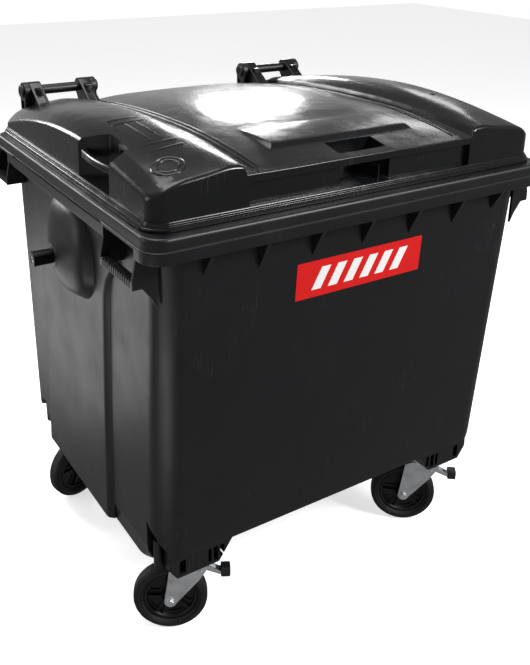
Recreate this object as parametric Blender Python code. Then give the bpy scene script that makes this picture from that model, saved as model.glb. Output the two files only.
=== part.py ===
"""Four-wheeled 1100 litre waste container with a flat hinged lid, built as separate moulded and steel parts.

Frame: +X along the long front, -Y is the front, +Z up, metres. Every size is a bare part dimension measured
from the middle of the tub's rim; the empty "bin" then centres the whole container over the origin.
"""

import math

import bmesh
import bpy
from mathutils import Matrix, Vector

FIT = 0.0003  # clearance left between parts that touch

# overall sizes: half length and half depth of the rim, height of its top, wheel radius, height under the fork
RIM_HALF_X, RIM_HALF_Y = 0.614, 0.524
RIM_TOP_Z = 1.2135
WHEEL_R = 0.100
FORK_HEAD = 0.040

# tub: half length, front and rear half depth at the top, the sill and the floor
FLOOR_Z = 2 * WHEEL_R + FORK_HEAD
SILL_Z = FLOOR_Z + 0.070
TUB_WALL = 0.006
WALL_CORNER_R = 0.065
TOP_HALF_X, TOP_FRONT, TOP_REAR = RIM_HALF_X - 0.047, RIM_HALF_Y - 0.0385, RIM_HALF_Y - 0.031
SILL_HALF_X, SILL_FRONT, SILL_REAR = TOP_HALF_X - 0.016, TOP_FRONT - 0.048, TOP_REAR - 0.027
FLOOR_HALF_X, FLOOR_FRONT, FLOOR_REAR = SILL_HALF_X - 0.031, SILL_FRONT - 0.102, SILL_REAR - 0.102

# rim: a skirt with one step in it
RIM_CORNER_R = 0.052
RIM_DEPTH = 0.0595
RIM_SKIRT, RIM_STEP, RIM_TOP = 0.006, 0.004, 0.007
RIM_Z0 = RIM_TOP_Z - RIM_DEPTH
RIM_STEP_Z = RIM_TOP_Z - 0.030
WALL_TOP_Z = RIM_TOP_Z - RIM_TOP

# lifting gussets under the front and rear rim, as shares of the rim's half length
GUSSETS = (0.0, 0.25, 0.50, 0.74)
GUSSET_T = 0.010
GUSSET_DROP = 0.086

# side handles, one pair at each end
HANDLE_X = RIM_HALF_X + 0.008
HANDLE_BAR_T, HANDLE_BAR_H = 0.024, 0.021
HANDLE_Z0 = RIM_Z0 - 0.070
HANDLE_FRONT_Y = (-RIM_HALF_Y + 0.064, -RIM_HALF_Y + 0.239)
HANDLE_REAR_Y = (RIM_HALF_Y - 0.139, RIM_HALF_Y - 0.024)
HANDLE_WEB_T = 0.008
HANDLE_WINDOW = 0.023

# trunnion bosses and pins for the side lift
TRUNNION_Y = 0.008
TRUNNION_Z = RIM_TOP_Z - 0.2125
TRUNNION_R = 0.020
TRUNNION_END_X = RIM_HALF_X + 0.071
BOSS_FACE_X = TOP_HALF_X + 0.066
BOSS_FACE_R = TRUNNION_R + 0.014
BOSS_BORE = 0.034
BOSS_POINTS = 20
PIN_BOLT_R, PIN_BOLT_LENGTH = 0.006, 0.060
PIN_BOLT_HEAD_R, PIN_BOLT_HEAD, PIN_BOLT_SINK = 0.0095, 0.007, 0.009
PIN_BOLT_KEY_R = 0.0045

# lid: heights are above the rim
LID_Z0 = RIM_TOP_Z + FIT
LID_FLANGE_X, LID_FLANGE_FRONT, LID_FLANGE_REAR = RIM_HALF_X - 0.018, RIM_HALF_Y - 0.032, RIM_HALF_Y - 0.012
LID_FLANGE_H, LID_FLANGE_R = 0.021, 0.052
LID_WALL = 0.0045
LID_FRONT_Y, LID_REAR_Y = -RIM_HALF_Y + 0.043, RIM_HALF_Y - 0.021
POD_OUT_X = RIM_HALF_X - 0.030
POD_IN_X = POD_OUT_X - 0.232
POD_CREST_X = (POD_OUT_X + POD_IN_X) / 2 - 0.018
CHANNEL_X = POD_IN_X - 0.024
# lines of the lid: height at the front, peak and rear, place of the peak, power of the front rise
CENTRE_LINE = (0.0955, 0.1375, 0.0825, -0.104, 2.0)
CHANNEL_LINE = (0.0940, 0.1205, 0.0660, -0.140, 2.0)
POD_IN_LINE = (0.1170, 0.1325, 0.0780, -0.150, 2.0)
CREST_LINE = (0.1115, 0.1535, 0.0795, -0.110, 2.0)
POD_OUT_LINE = (0.0740, 0.1185, 0.0335, -0.050, 1.5)
NOSE_ROUND, NOSE_DROP = 0.040, 0.008
LIP_H, LIP_SET_BACK = 0.0775, 0.014
FRONT_GRIP_X, FRONT_GRIP_BACK, FRONT_GRIP_BAR = 0.077, 0.088, 0.026
GRIP_FLOOR_H = 0.022
SIDE_GRIP_Y = (-0.270, -0.107)
SIDE_GRIP_DEPTH = 0.052
SIDE_BAR_H, SIDE_BAR_W, SIDE_BAR_T, SIDE_BAR_BOW = 0.072, 0.020, 0.014, 0.007

# lid hinges: from the inside out, a tub bracket, a lid arm, the bare bar, a lid arm and a tub bracket
HINGE_Y, HINGE_Z = RIM_HALF_Y + 0.0164, RIM_TOP_Z + 0.1107
HINGE_BAR_R = 0.0150
HINGE_BOSS_R = HINGE_BAR_R + 0.0115
HINGE_BRACKET_T, HINGE_ARM_T, HINGE_GAP = 0.018, 0.037, 0.0005
HINGE_IN, HINGE_OUT = POD_IN_X - 0.0755, POD_OUT_X - 0.0745
CAP_R, CAP_T = HINGE_BAR_R + 0.006, 0.006

# castors: swivel angle of each, wheel and fork
CASTOR_X, CASTOR_FRONT_Y, CASTOR_REAR_Y = RIM_HALF_X - 0.1947, -RIM_HALF_Y + 0.1787, RIM_HALF_Y - 0.1772
CASTOR_ANGLES = {"front_left": -28.6, "front_right": -38.4, "rear_left": 15.7, "rear_right": -14.0}
CASTOR_TRAIL = 0.0506
TYRE_W, TYRE_INNER_R = 0.048, WHEEL_R - 0.027
RIM_WEB_T, RIM_WIDTH, HUB_R = 0.010, 0.040, 0.025
WHEEL_WINDOWS = 5
BUSH_R, AXLE_R, AXLE_HEAD_R = 0.0105, 0.0060, 0.0105
FORK_GAP, FORK_T = TYRE_W / 2 + 0.006, 0.0035
HUB_W = 2 * FORK_GAP - 0.004
CROWN_R, CROWN_T = FORK_GAP + 0.008, 0.012
PLATE_L, PLATE_W, PLATE_T, RACE_T = 0.105, 0.085, 0.004, 0.005
PLATE_TOP_Z = FLOOR_Z - FIT
KINGPIN_R = 0.006
HOUSING_X = (CASTOR_X - 0.097, CASTOR_X + 0.105)
HOUSING_FRONT_Y, HOUSING_REAR_Y = CASTOR_FRONT_Y - 0.078, CASTOR_REAR_Y + 0.084
PEDAL_Z = 2 * WHEEL_R - 0.004
PEDAL_X = math.sqrt((WHEEL_R + 0.0254) ** 2 - (PEDAL_Z - WHEEL_R) ** 2) - CASTOR_TRAIL
PEDAL_W, PEDAL_PIN_R = 0.022, 0.004
PAD_X, PAD_W, PAD_ROUND = (PEDAL_X + 0.054, PEDAL_X + 0.080), 0.030, 0.003
PAD_Z = (PEDAL_Z - 0.036, PEDAL_Z - 0.008)
TONGUE_Z, TONGUE_IN = (PEDAL_Z - 0.029, PEDAL_Z - 0.018), 0.012

# small parts
LABEL_W, LABEL_H, LABEL_T = 0.400, 0.098, 0.0006
LABEL_Z = RIM_TOP_Z - 0.1995
DRAIN_Y, DRAIN_R, DRAIN_BORE = -0.250, 0.030, 0.0215
SEAL_T, PLUG_T = 0.003, 0.006


def new_material(name, colour, roughness, metallic):
    material = bpy.data.materials.new(name)
    material.use_nodes = True
    shader = material.node_tree.nodes["Principled BSDF"]
    shader.inputs["Base Color"].default_value = (*colour, 1.0)
    shader.inputs["Roughness"].default_value = roughness
    shader.inputs["Metallic"].default_value = metallic
    return material


def finish(bm, name, material=None, smooth=True):
    """Turns a bmesh into an object with outward faces."""
    bmesh.ops.remove_doubles(bm, verts=bm.verts, dist=1e-6)
    bmesh.ops.recalc_face_normals(bm, faces=bm.faces)
    mesh = bpy.data.meshes.new(name)
    bm.to_mesh(mesh)
    bm.free()
    obj = bpy.data.objects.new(name, mesh)
    bpy.context.scene.collection.objects.link(obj)
    if material:
        mesh.materials.append(material)
    if smooth:
        mesh.shade_smooth()
        mesh.set_sharp_from_angle(angle=math.radians(32))
    return obj


def loft(name, rings, material=None):
    """A closed body through rings of equally many points, with a flat cap on each end."""
    bm = bmesh.new()
    rows = [[bm.verts.new(point) for point in ring] for ring in rings]
    count = len(rows[0])
    for low, high in zip(rows, rows[1:]):
        for i in range(count):
            j = (i + 1) % count
            bm.faces.new((low[i], low[j], high[j], high[i]))
    bm.faces.new(rows[0][::-1])
    bm.faces.new(rows[-1])
    return finish(bm, name, material)


def rounded_ring(half_x, front, rear, radius, z, steps=5):
    """Points of a rounded rectangle in plan, from -front to +rear."""
    points = []
    corners = ((half_x, rear, 0), (-half_x, rear, 90), (-half_x, -front, 180), (half_x, -front, 270))
    for x, y, start in corners:
        cx, cy = x - math.copysign(radius, x), y - math.copysign(radius, y)
        for step in range(steps + 1):
            angle = math.radians(start + 90 * step / steps)
            points.append((cx + radius * math.cos(angle), cy + radius * math.sin(angle), z))
    return points


def block(name, x, y, z, bevel=0.0, material=None):
    """A box between pairs of limits, with its edges rounded when bevel is given."""
    bm = bmesh.new()
    bmesh.ops.create_cube(bm, size=1.0)
    size = Vector((x[1] - x[0], y[1] - y[0], z[1] - z[0]))
    middle = Vector((x[0] + x[1], y[0] + y[1], z[0] + z[1])) / 2
    for vert in bm.verts:
        vert.co = Vector(a * b for a, b in zip(vert.co, size)) + middle
    if bevel:
        bmesh.ops.bevel(bm, geom=bm.edges[:], offset=bevel, segments=2, profile=0.5, affect="EDGES")
    return finish(bm, name, material)


def rod(name, radius, start, end, material=None, segments=20, end_radius=None):
    """A round bar or cone between two points."""
    start, end = Vector(start), Vector(end)
    axis = end - start
    turn = axis.to_track_quat("Z", "Y").to_matrix().to_4x4()
    bm = bmesh.new()
    bmesh.ops.create_cone(
        bm, cap_ends=True, segments=segments, radius1=radius, depth=axis.length,
        radius2=radius if end_radius is None else end_radius,
        matrix=Matrix.Translation((start + end) / 2) @ turn,
    )
    return finish(bm, name, material)


def prism(name, outline, axis, low, high, material=None):
    """A flat outline swept along X, Y or Z from low to high; the outline gives the other two coordinates."""
    def place(a, b, along):
        return {"X": (along, a, b), "Y": (a, along, b), "Z": (a, b, along)}[axis]

    return loft(name, [[place(a, b, along) for a, b in outline] for along in (low, high)], material)


def spin(name, profile, material=None, segments=24):
    """A ring turned about the local Y axis from (radius, offset) points."""
    bm = bmesh.new()
    rows = []
    for i in range(segments):
        angle = 2 * math.pi * i / segments
        rows.append([bm.verts.new((r * math.cos(angle), y, r * math.sin(angle))) for r, y in profile])
    for i in range(segments):
        here, there = rows[i], rows[(i + 1) % segments]
        for j in range(len(profile)):
            k = (j + 1) % len(profile)
            bm.faces.new((here[j], here[k], there[k], there[j]))
    return finish(bm, name, material)


def combine(target, others, operation):
    """Joins others to the target, or cuts them from it, and clears them away."""
    for other in others:
        modifier = target.modifiers.new("join", "BOOLEAN")
        modifier.operation = operation
        modifier.solver = "EXACT"
        modifier.object = other
        bpy.context.view_layer.objects.active = target
        bpy.context.view_layer.update()
        with bpy.context.temp_override(object=target, active_object=target, selected_objects=[target]):
            bpy.ops.object.modifier_apply(modifier=modifier.name)
        bpy.data.objects.remove(other)
    target.data.shade_smooth()
    target.data.set_sharp_from_angle(angle=math.radians(32))
    return target


def join(target, *others):
    return combine(target, others, "UNION")


def cut(target, *others):
    return combine(target, others, "DIFFERENCE")


def arc(cx, cy, radius, start, end, steps):
    angles = [math.radians(start + (end - start) * i / steps) for i in range(steps + 1)]
    return [(cx + radius * math.cos(a), cy + radius * math.sin(a)) for a in angles]


def mirrored(side, low, high):
    """A pair of limits across the middle plane for side -1, or as given for side 1."""
    return sorted((side * low, side * high))


# ------------------------------------------------------------------ scene

for old in list(bpy.data.objects):
    bpy.data.objects.remove(old)

BODY_PLASTIC = new_material("body_plastic", (0.030, 0.031, 0.034), 0.42, 0.0)
LID_PLASTIC = new_material("lid_plastic", (0.026, 0.027, 0.030), 0.24, 0.0)
BLACK_PLASTIC = new_material("black_plastic", (0.012, 0.012, 0.013), 0.40, 0.0)
RUBBER = new_material("tyre_rubber", (0.016, 0.016, 0.017), 0.72, 0.0)
WHEEL_PLASTIC = new_material("wheel_plastic", (0.020, 0.020, 0.022), 0.50, 0.0)
ZINC = new_material("galvanised_steel", (0.62, 0.63, 0.65), 0.34, 1.0)
PIN_STEEL = new_material("blackened_steel", (0.030, 0.030, 0.032), 0.38, 0.8)
LABEL_FILM = new_material("label_film", (0.72, 0.020, 0.016), 0.30, 0.0)
PAD_GREY = new_material("pad_plastic", (0.10, 0.10, 0.11), 0.50, 0.0)

bin_root = bpy.data.objects.new("bin", None)
bpy.context.scene.collection.objects.link(bin_root)
bin_root.location.y = (RIM_HALF_Y - (HINGE_Y + HINGE_BOSS_R)) / 2

# ------------------------------------------------------------------ tub

TUB_LEVELS = (
    (FLOOR_Z, FLOOR_HALF_X, FLOOR_FRONT, FLOOR_REAR),
    (FLOOR_Z + 0.014, FLOOR_HALF_X + 0.020, FLOOR_FRONT + 0.022, FLOOR_REAR + 0.022),
    (SILL_Z, SILL_HALF_X, SILL_FRONT, SILL_REAR),
    (WALL_TOP_Z, TOP_HALF_X, TOP_FRONT, TOP_REAR),
)
tub = loft(
    "body_tub",
    [rounded_ring(hx, front, rear, WALL_CORNER_R, z) for z, hx, front, rear in TUB_LEVELS],
    BODY_PLASTIC,
)

# rim: a downward skirt with one step, joined to the wall by a flat top
rim_rings = []
for z, inset in (
    (RIM_Z0, 0.0), (RIM_STEP_Z, 0.0), (RIM_STEP_Z + RIM_STEP, RIM_STEP),
    (RIM_TOP_Z - 0.004, RIM_STEP), (RIM_TOP_Z, 2 * RIM_STEP),
):
    half_y = RIM_HALF_Y - inset
    rim_rings.append(rounded_ring(RIM_HALF_X - inset, half_y, half_y, RIM_CORNER_R - inset, z))
rim = loft("rim", rim_rings)
skirt_in = RIM_STEP + RIM_SKIRT
half_y = RIM_HALF_Y - skirt_in
cut(rim, loft("groove", [
    rounded_ring(RIM_HALF_X - skirt_in, half_y, half_y, RIM_CORNER_R - skirt_in, z)
    for z in (RIM_Z0 - 0.010, WALL_TOP_Z)
]))
join(tub, rim)

# gussets that carry the lifting comb, tapered from the skirt back to the wall
gusset_out = RIM_HALF_Y - skirt_in + 0.003
for share in sorted({side * share for share in GUSSETS for side in (-1, 1)}):
    middle = share * RIM_HALF_X
    for way, top, sill in ((-1, TOP_FRONT, SILL_FRONT), (1, TOP_REAR, SILL_REAR)):
        drop = GUSSET_DROP * (0.8 if abs(share) == GUSSETS[-1] else 1.0)
        tip = sill + (top - sill) * (RIM_Z0 - drop - SILL_Z) / (WALL_TOP_Z - SILL_Z) - 0.004
        outline = [
            (way * (top - 0.004), RIM_TOP_Z - 0.004), (way * gusset_out, RIM_TOP_Z - 0.010),
            (way * gusset_out, RIM_Z0 - 0.001), (way * tip, RIM_Z0 - drop),
        ]
        join(tub, prism("gusset", outline, "X", middle - GUSSET_T / 2, middle + GUSSET_T / 2))



def hinge_bore(ends):
    start, end = ((x, HINGE_Y, HINGE_Z) for x in (ends[0] - 0.01, ends[1] + 0.01))
    return rod("bore", HINGE_BAR_R + FIT, start, end)


# hinge brackets rise behind the rear rim
BRACKET_OUTLINE = (
    [(RIM_HALF_Y - 0.020, RIM_TOP_Z - 0.012), (RIM_HALF_Y - 0.020, RIM_Z0 + 0.004),
     (RIM_HALF_Y + 0.010, RIM_Z0 + 0.004), (HINGE_Y + 0.016, RIM_STEP_Z + 0.030)]
    + arc(HINGE_Y, HINGE_Z, HINGE_BOSS_R, -20, 200, 12)
    + [(RIM_HALF_Y + 0.003, RIM_TOP_Z + 0.010), (RIM_HALF_Y - 0.002, RIM_TOP_Z - 0.012)]
)
for side in (-1, 1):
    for low in (HINGE_IN, HINGE_OUT - HINGE_BRACKET_T):
        ends = mirrored(side, low, low + HINGE_BRACKET_T)
        bracket = prism("bracket", BRACKET_OUTLINE, "X", *ends)
        join(tub, cut(bracket, hinge_bore(ends)))

# trunnion bosses: an arched blister that rises to a round seat for the pin
for side in (-1, 1):
    rings = []
    for x, half_y, low, high, power in (
        (TOP_HALF_X - 0.020, 0.142, 0.118, 0.150, 2.6), (TOP_HALF_X + 0.010, 0.136, 0.112, 0.148, 2.6),
        (TOP_HALF_X + 0.032, 0.120, 0.098, 0.130, 2.4), (BOSS_FACE_X - 0.012, 0.072, 0.066, 0.078, 2.1),
        (BOSS_FACE_X - 0.004, BOSS_FACE_R + 0.008, BOSS_FACE_R + 0.008, BOSS_FACE_R + 0.010, 2.0),
        (BOSS_FACE_X, BOSS_FACE_R, BOSS_FACE_R, BOSS_FACE_R, 2.0),
    ):
        ring = []
        for i in range(BOSS_POINTS):
            angle = 2 * math.pi * i / BOSS_POINTS
            c, s = math.cos(angle), math.sin(angle)
            y = half_y * math.copysign(abs(c) ** (2 / power), c)
            z = (high if s > 0 else low) * math.copysign(abs(s) ** (2 / power), s)
            ring.append((side * x, TRUNNION_Y + y, TRUNNION_Z + z))
        rings.append(ring)
    join(tub, loft("boss", rings))

# side handles: two webs down from the rim and a grip bar across them
for side in (-1, 1):
    for y0, y1 in (HANDLE_FRONT_Y, HANDLE_REAR_Y):
        wall = TOP_HALF_X - 0.007
        for y in (y0, y1 - HANDLE_WEB_T):
            drop = 0.058 if y == HANDLE_FRONT_Y[0] else 0.0
            outline = [
                (side * wall, RIM_TOP_Z - 0.010), (side * (RIM_HALF_X - 0.005), RIM_TOP_Z - 0.010),
                (side * (RIM_HALF_X - 0.001), RIM_Z0 - 0.002), (side * HANDLE_X, HANDLE_Z0 + HANDLE_BAR_H),
                (side * HANDLE_X, HANDLE_Z0), (side * (HANDLE_X - HANDLE_BAR_T), HANDLE_Z0),
                (side * (TOP_HALF_X + 0.008), HANDLE_Z0 - drop / 2), (side * wall, HANDLE_Z0 - drop),
            ]
            join(tub, prism("web", outline, "Y", y, y + HANDLE_WEB_T))
        grip = block(
            "grip", mirrored(side, HANDLE_X - HANDLE_BAR_T, HANDLE_X), (y0 + 0.002, y1 - 0.002),
            (HANDLE_Z0, HANDLE_Z0 + HANDLE_BAR_H), 0.003,
        )
        window = block(
            "window", mirrored(side, RIM_HALF_X - 0.012, RIM_HALF_X + 0.010),
            (y0 + HANDLE_WEB_T, y1 - HANDLE_WEB_T), (RIM_Z0 - 0.010, RIM_Z0 + HANDLE_WINDOW),
        )
        join(cut(tub, window), grip)

# castor housings under the sloping ends of the floor, open between their ribs
housing_in, housing_out = HOUSING_X
RIBS = 4
for side in (-1, 1):
    for way, face in ((-1, HOUSING_FRONT_Y), (1, HOUSING_REAR_Y)):
        outline = [
            (side * housing_in, SILL_Z + 0.004), (side * (housing_in + 0.050), FLOOR_Z),
            (side * (housing_out - 0.028), FLOOR_Z), (side * housing_out, FLOOR_Z + 0.040),
            (side * (housing_out - 0.004), SILL_Z + 0.012),
        ]
        housing = prism("housing", outline, "Y", *sorted((face, way * (FLOOR_FRONT - 0.060))))
        for i in range(RIBS):
            x = housing_in + 0.052 + 0.032 * i
            cut(housing, block(
                "slot", mirrored(side, x, x + 0.022), sorted((face - way * 0.022, face + way * 0.01)),
                (FLOOR_Z - 0.01, SILL_Z - 0.016),
            ))
        join(tub, housing)

# hollow inside, the drain hole and the bores for the trunnions and their bolts
inner_z = (FLOOR_Z + TUB_WALL, FLOOR_Z + TUB_WALL + 0.015, SILL_Z + 0.002, RIM_TOP_Z + 0.020)
cut(tub, loft("inside", [
    rounded_ring(hx - TUB_WALL, front - TUB_WALL, rear - TUB_WALL, WALL_CORNER_R - TUB_WALL, z)
    for z, (_, hx, front, rear) in zip(inner_z, TUB_LEVELS)
]))
cut(tub, rod("drain", DRAIN_BORE, (0, DRAIN_Y, FLOOR_Z - 0.02), (0, DRAIN_Y, FLOOR_Z + 0.02), segments=24))
PIN_ROOT_X = BOSS_FACE_X - BOSS_BORE
PIN_BOLT_END_X = TRUNNION_END_X - PIN_BOLT_SINK - PIN_BOLT_LENGTH
for side in (-1, 1):
    def on_axis(x):
        return (side * x, TRUNNION_Y, TRUNNION_Z)

    cut(
        tub,
        rod("seat", TRUNNION_R + FIT, on_axis(PIN_ROOT_X), on_axis(BOSS_FACE_X + 0.01), segments=32),
        rod("thread", PIN_BOLT_R + FIT, on_axis(PIN_BOLT_END_X - 0.002), on_axis(BOSS_FACE_X), segments=12),
    )

# ------------------------------------------------------------------ lid


def lid_line(y, front, peak, rear, peak_y, power):
    """Height above the rim of one lengthwise line of the lid."""
    if y < peak_y:
        return peak - (peak - front) * ((peak_y - y) / (peak_y - LID_FRONT_Y)) ** power
    return peak - (peak - rear) * ((y - peak_y) / (LID_REAR_Y - peak_y)) ** 2


def lid_section(y, wall, base_z):
    """Closed cross-section of the lid at y, drawn in by the wall thickness."""
    corner = max(0.0, NOSE_ROUND - min(y - LID_FRONT_Y, LID_REAR_Y - y))
    out_x = POD_OUT_X - wall - NOSE_ROUND + math.sqrt(NOSE_ROUND ** 2 - corner ** 2)
    drop = wall + (NOSE_DROP if y == LID_FRONT_Y else 0.0)
    channel, centre, pod_in, crest, pod_out = (
        RIM_TOP_Z + lid_line(y, *line) - drop
        for line in (CHANNEL_LINE, CENTRE_LINE, POD_IN_LINE, CREST_LINE, POD_OUT_LINE)
    )
    in_x, channel_x, low = POD_IN_X + wall, CHANNEL_X + wall, LID_Z0 + LID_FLANGE_H - 0.008
    half = [
        (out_x, base_z), (out_x, low), (out_x, pod_out - 0.010), (out_x - 0.008, pod_out),
        (out_x - 0.050, (pod_out + crest) / 2 + 0.006), (POD_CREST_X, crest),
        (in_x + 0.040, (pod_in + crest) / 2 + 0.006), (in_x + 0.006, pod_in),
        (in_x, pod_in - 0.003), (in_x - 0.004, channel), (channel_x, channel),
        (CHANNEL_X * 0.67, (channel + centre) / 2 + 0.004), (CHANNEL_X * 0.33, centre - 0.001),
    ]
    return [(x, y, z) for x, z in half] + [(0.0, y, centre)] + [(-x, y, z) for x, z in reversed(half)]


LID_END_STEPS = (0.0, 0.007, 0.019, NOSE_ROUND + 0.001)
LID_STEPS = 10
first, last = LID_FRONT_Y + LID_END_STEPS[-1], LID_REAR_Y - LID_END_STEPS[-1]
lid_mid_y = [first + (last - first) * i / LID_STEPS for i in range(1, LID_STEPS)]
lid_y = [LID_FRONT_Y + d for d in LID_END_STEPS] + lid_mid_y + [LID_REAR_Y - d for d in LID_END_STEPS[::-1]]
lid = loft("lid", [lid_section(y, 0.0, LID_Z0 + 0.008) for y in lid_y], LID_PLASTIC)
join(lid, loft("flange", [
    rounded_ring(LID_FLANGE_X - i, LID_FLANGE_FRONT - i, LID_FLANGE_REAR - i, LID_FLANGE_R - i, LID_Z0 + h)
    for h, i in ((0.0, 0.0), (0.012, 0.0), (0.014, 0.004), (LID_FLANGE_H, 0.006))
]))

# hinge arms slope from the bar down to the lid
ARM_OUTLINE = (
    [(HINGE_Y - 0.055, HINGE_Z - 0.080), (HINGE_Y - 0.030, HINGE_Z - 0.080)]
    + arc(HINGE_Y, HINGE_Z, HINGE_BOSS_R, -60, 118, 12)
    + [(HINGE_Y - 0.104, HINGE_Z - 0.038), (HINGE_Y - 0.104, HINGE_Z - 0.060)]
)
arm_inset = HINGE_BRACKET_T + HINGE_GAP
for side in (-1, 1):
    for low in (HINGE_IN + arm_inset, HINGE_OUT - arm_inset - HINGE_ARM_T):
        ends = mirrored(side, low, low + HINGE_ARM_T)
        arm = prism("arm", ARM_OUTLINE, "X", *ends)
        join(lid, cut(arm, hinge_bore(ends)))

# set-back face under the front lip, with the grip pocket behind the lip
FRONT_CLEAR = LID_FRONT_Y - 0.040
FACE_Y = LID_FRONT_Y + LIP_SET_BACK
FACE_X = CHANNEL_X + 0.014
LIP_Z0, GRIP_Z, OPEN_Z = RIM_TOP_Z + LIP_H, RIM_TOP_Z + GRIP_FLOOR_H, RIM_TOP_Z + 0.20
grip_back, grip_bar = LID_FRONT_Y + FRONT_GRIP_BACK, LID_FRONT_Y + FRONT_GRIP_BAR
cut(
    lid,
    block("recess", (-FACE_X, FACE_X), (FRONT_CLEAR, FACE_Y), (LID_Z0 + LID_FLANGE_H, LIP_Z0)),
    block("grip_low", (-FRONT_GRIP_X, FRONT_GRIP_X), (FRONT_CLEAR, grip_back), (GRIP_Z, LIP_Z0)),
    block("grip_top", (0.004 - FRONT_GRIP_X, FRONT_GRIP_X - 0.004), (grip_bar, grip_back),
          (GRIP_Z + 0.01, OPEN_Z)),
)

# side grips: a pocket open at the top with a bowed bar across it
pocket_x, side_clear = POD_OUT_X - SIDE_GRIP_DEPTH, POD_OUT_X + 0.040
bar_z = RIM_TOP_Z + SIDE_BAR_H
BAR_STEPS = 8
for side in (-1, 1):
    cut(lid, block("pocket", mirrored(side, pocket_x, side_clear), SIDE_GRIP_Y, (GRIP_Z, OPEN_Z)))
    rings = []
    for i in range(BAR_STEPS + 1):
        share = i / BAR_STEPS
        y = SIDE_GRIP_Y[0] - 0.004 + (SIDE_GRIP_Y[1] - SIDE_GRIP_Y[0] + 0.008) * share
        x = side * (POD_OUT_X - 0.0015 + SIDE_BAR_BOW * math.sin(math.pi * share))
        inner = x - side * SIDE_BAR_T
        top = bar_z + SIDE_BAR_W
        rings.append([(x, y, bar_z), (x, y, top), (inner, y, top), (inner, y, bar_z)])
    join(lid, loft("bar", rings))

# hollow underside, kept clear of the grip pockets
inner_y = [LID_FRONT_Y + LID_WALL, lid_y[3], *lid_mid_y[1::2], lid_y[-4], LID_REAR_Y - LID_WALL]
inside = loft("inside", [lid_section(y, LID_WALL, LID_Z0 - 0.02) for y in inner_y])
keep = [
    block("keep", (-FACE_X - LID_WALL, FACE_X + LID_WALL), (FRONT_CLEAR, FACE_Y + LID_WALL),
          (RIM_Z0, LIP_Z0 + LID_WALL)),
    block("keep", (-FRONT_GRIP_X - LID_WALL, FRONT_GRIP_X + LID_WALL), (FRONT_CLEAR, grip_back + LID_WALL),
          (GRIP_Z - LID_WALL, OPEN_Z)),
]
for side in (-1, 1):
    keep.append(block(
        "keep", mirrored(side, pocket_x - LID_WALL, side_clear),
        (SIDE_GRIP_Y[0] - LID_WALL, SIDE_GRIP_Y[1] + LID_WALL), (GRIP_Z - LID_WALL, OPEN_Z),
    ))
cut(inside, *keep)
cut(lid, inside)

# ------------------------------------------------------------------ hinge bars and caps

for side, tag in ((-1, "left"), (1, "right")):
    x0, x1 = mirrored(side, HINGE_IN - 0.001, HINGE_OUT + 0.001)
    rod("hinge_bar_" + tag, HINGE_BAR_R, (x0, HINGE_Y, HINGE_Z), (x1, HINGE_Y, HINGE_Z), BLACK_PLASTIC, 24)
    for x, way, end in ((x0, -1, "left"), (x1, 1, "right")):
        face = x + way * FIT
        rod(
            "hinge_cap_" + tag + "_" + end, CAP_R, (face, HINGE_Y, HINGE_Z),
            (face + way * CAP_T, HINGE_Y, HINGE_Z), BLACK_PLASTIC, 24, CAP_R - 0.003,
        )

# ------------------------------------------------------------------ trunnions

for side, tag in ((-1, "left"), (1, "right")):
    def on_axis(x):
        return (side * x, TRUNNION_Y, TRUNNION_Z)

    root, end = PIN_ROOT_X + FIT, TRUNNION_END_X
    sink = end - PIN_BOLT_SINK
    pin = rod("trunnion_" + tag, TRUNNION_R, on_axis(root), on_axis(end), PIN_STEEL, 24)
    cut(
        pin,
        rod("counterbore", PIN_BOLT_HEAD_R + FIT, on_axis(end + 0.01), on_axis(sink), segments=20),
        rod("through", PIN_BOLT_R + FIT, on_axis(end), on_axis(root - 0.01), segments=16),
    )
    seat = sink + FIT
    head = seat + PIN_BOLT_HEAD
    bolt = rod("trunnion_bolt_" + tag, PIN_BOLT_HEAD_R, on_axis(head), on_axis(seat), ZINC, 20)
    join(bolt, rod("shank", PIN_BOLT_R, on_axis(seat + 0.003), on_axis(seat - PIN_BOLT_LENGTH), segments=12))
    cut(bolt, rod("socket", PIN_BOLT_KEY_R, on_axis(head + 0.01), on_axis(head - 0.004), segments=6))

# ------------------------------------------------------------------ label and drain plug

wall_slope = (TOP_FRONT - SILL_FRONT) / (WALL_TOP_Z - SILL_Z)
label_rings = []
for offset in (FIT, FIT + LABEL_T):
    ring = []
    for x, z in ((-1, -1), (1, -1), (1, 1), (-1, 1)):
        height = LABEL_Z + z * LABEL_H / 2
        ring.append((x * LABEL_W / 2, -SILL_FRONT - wall_slope * (height - SILL_Z) - offset, height))
    label_rings.append(ring)
loft("front_label", label_rings, LABEL_FILM)

seal_z = FLOOR_Z - FIT
stem_r = DRAIN_BORE - 0.001
seal = rod("drain_seal", DRAIN_R, (0, DRAIN_Y, seal_z - SEAL_T), (0, DRAIN_Y, seal_z), RUBBER, 24)
cut(seal, rod("hole", stem_r + FIT, (0, DRAIN_Y, seal_z - 0.01), (0, DRAIN_Y, seal_z + 0.01), segments=24))
plug_z = seal_z - SEAL_T - FIT
plug = rod("drain_plug", DRAIN_R, (0, DRAIN_Y, plug_z - PLUG_T), (0, DRAIN_Y, plug_z), BLACK_PLASTIC, 24)
join(
    plug,
    rod("stem", stem_r, (0, DRAIN_Y, plug_z - 0.002), (0, DRAIN_Y, FLOOR_Z + TUB_WALL + 0.006), segments=24),
    block("wing", (-0.022, 0.022), (DRAIN_Y - 0.004, DRAIN_Y + 0.004), (plug_z - 0.020, plug_z - 0.004)),
)

# ------------------------------------------------------------------ castors


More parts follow.
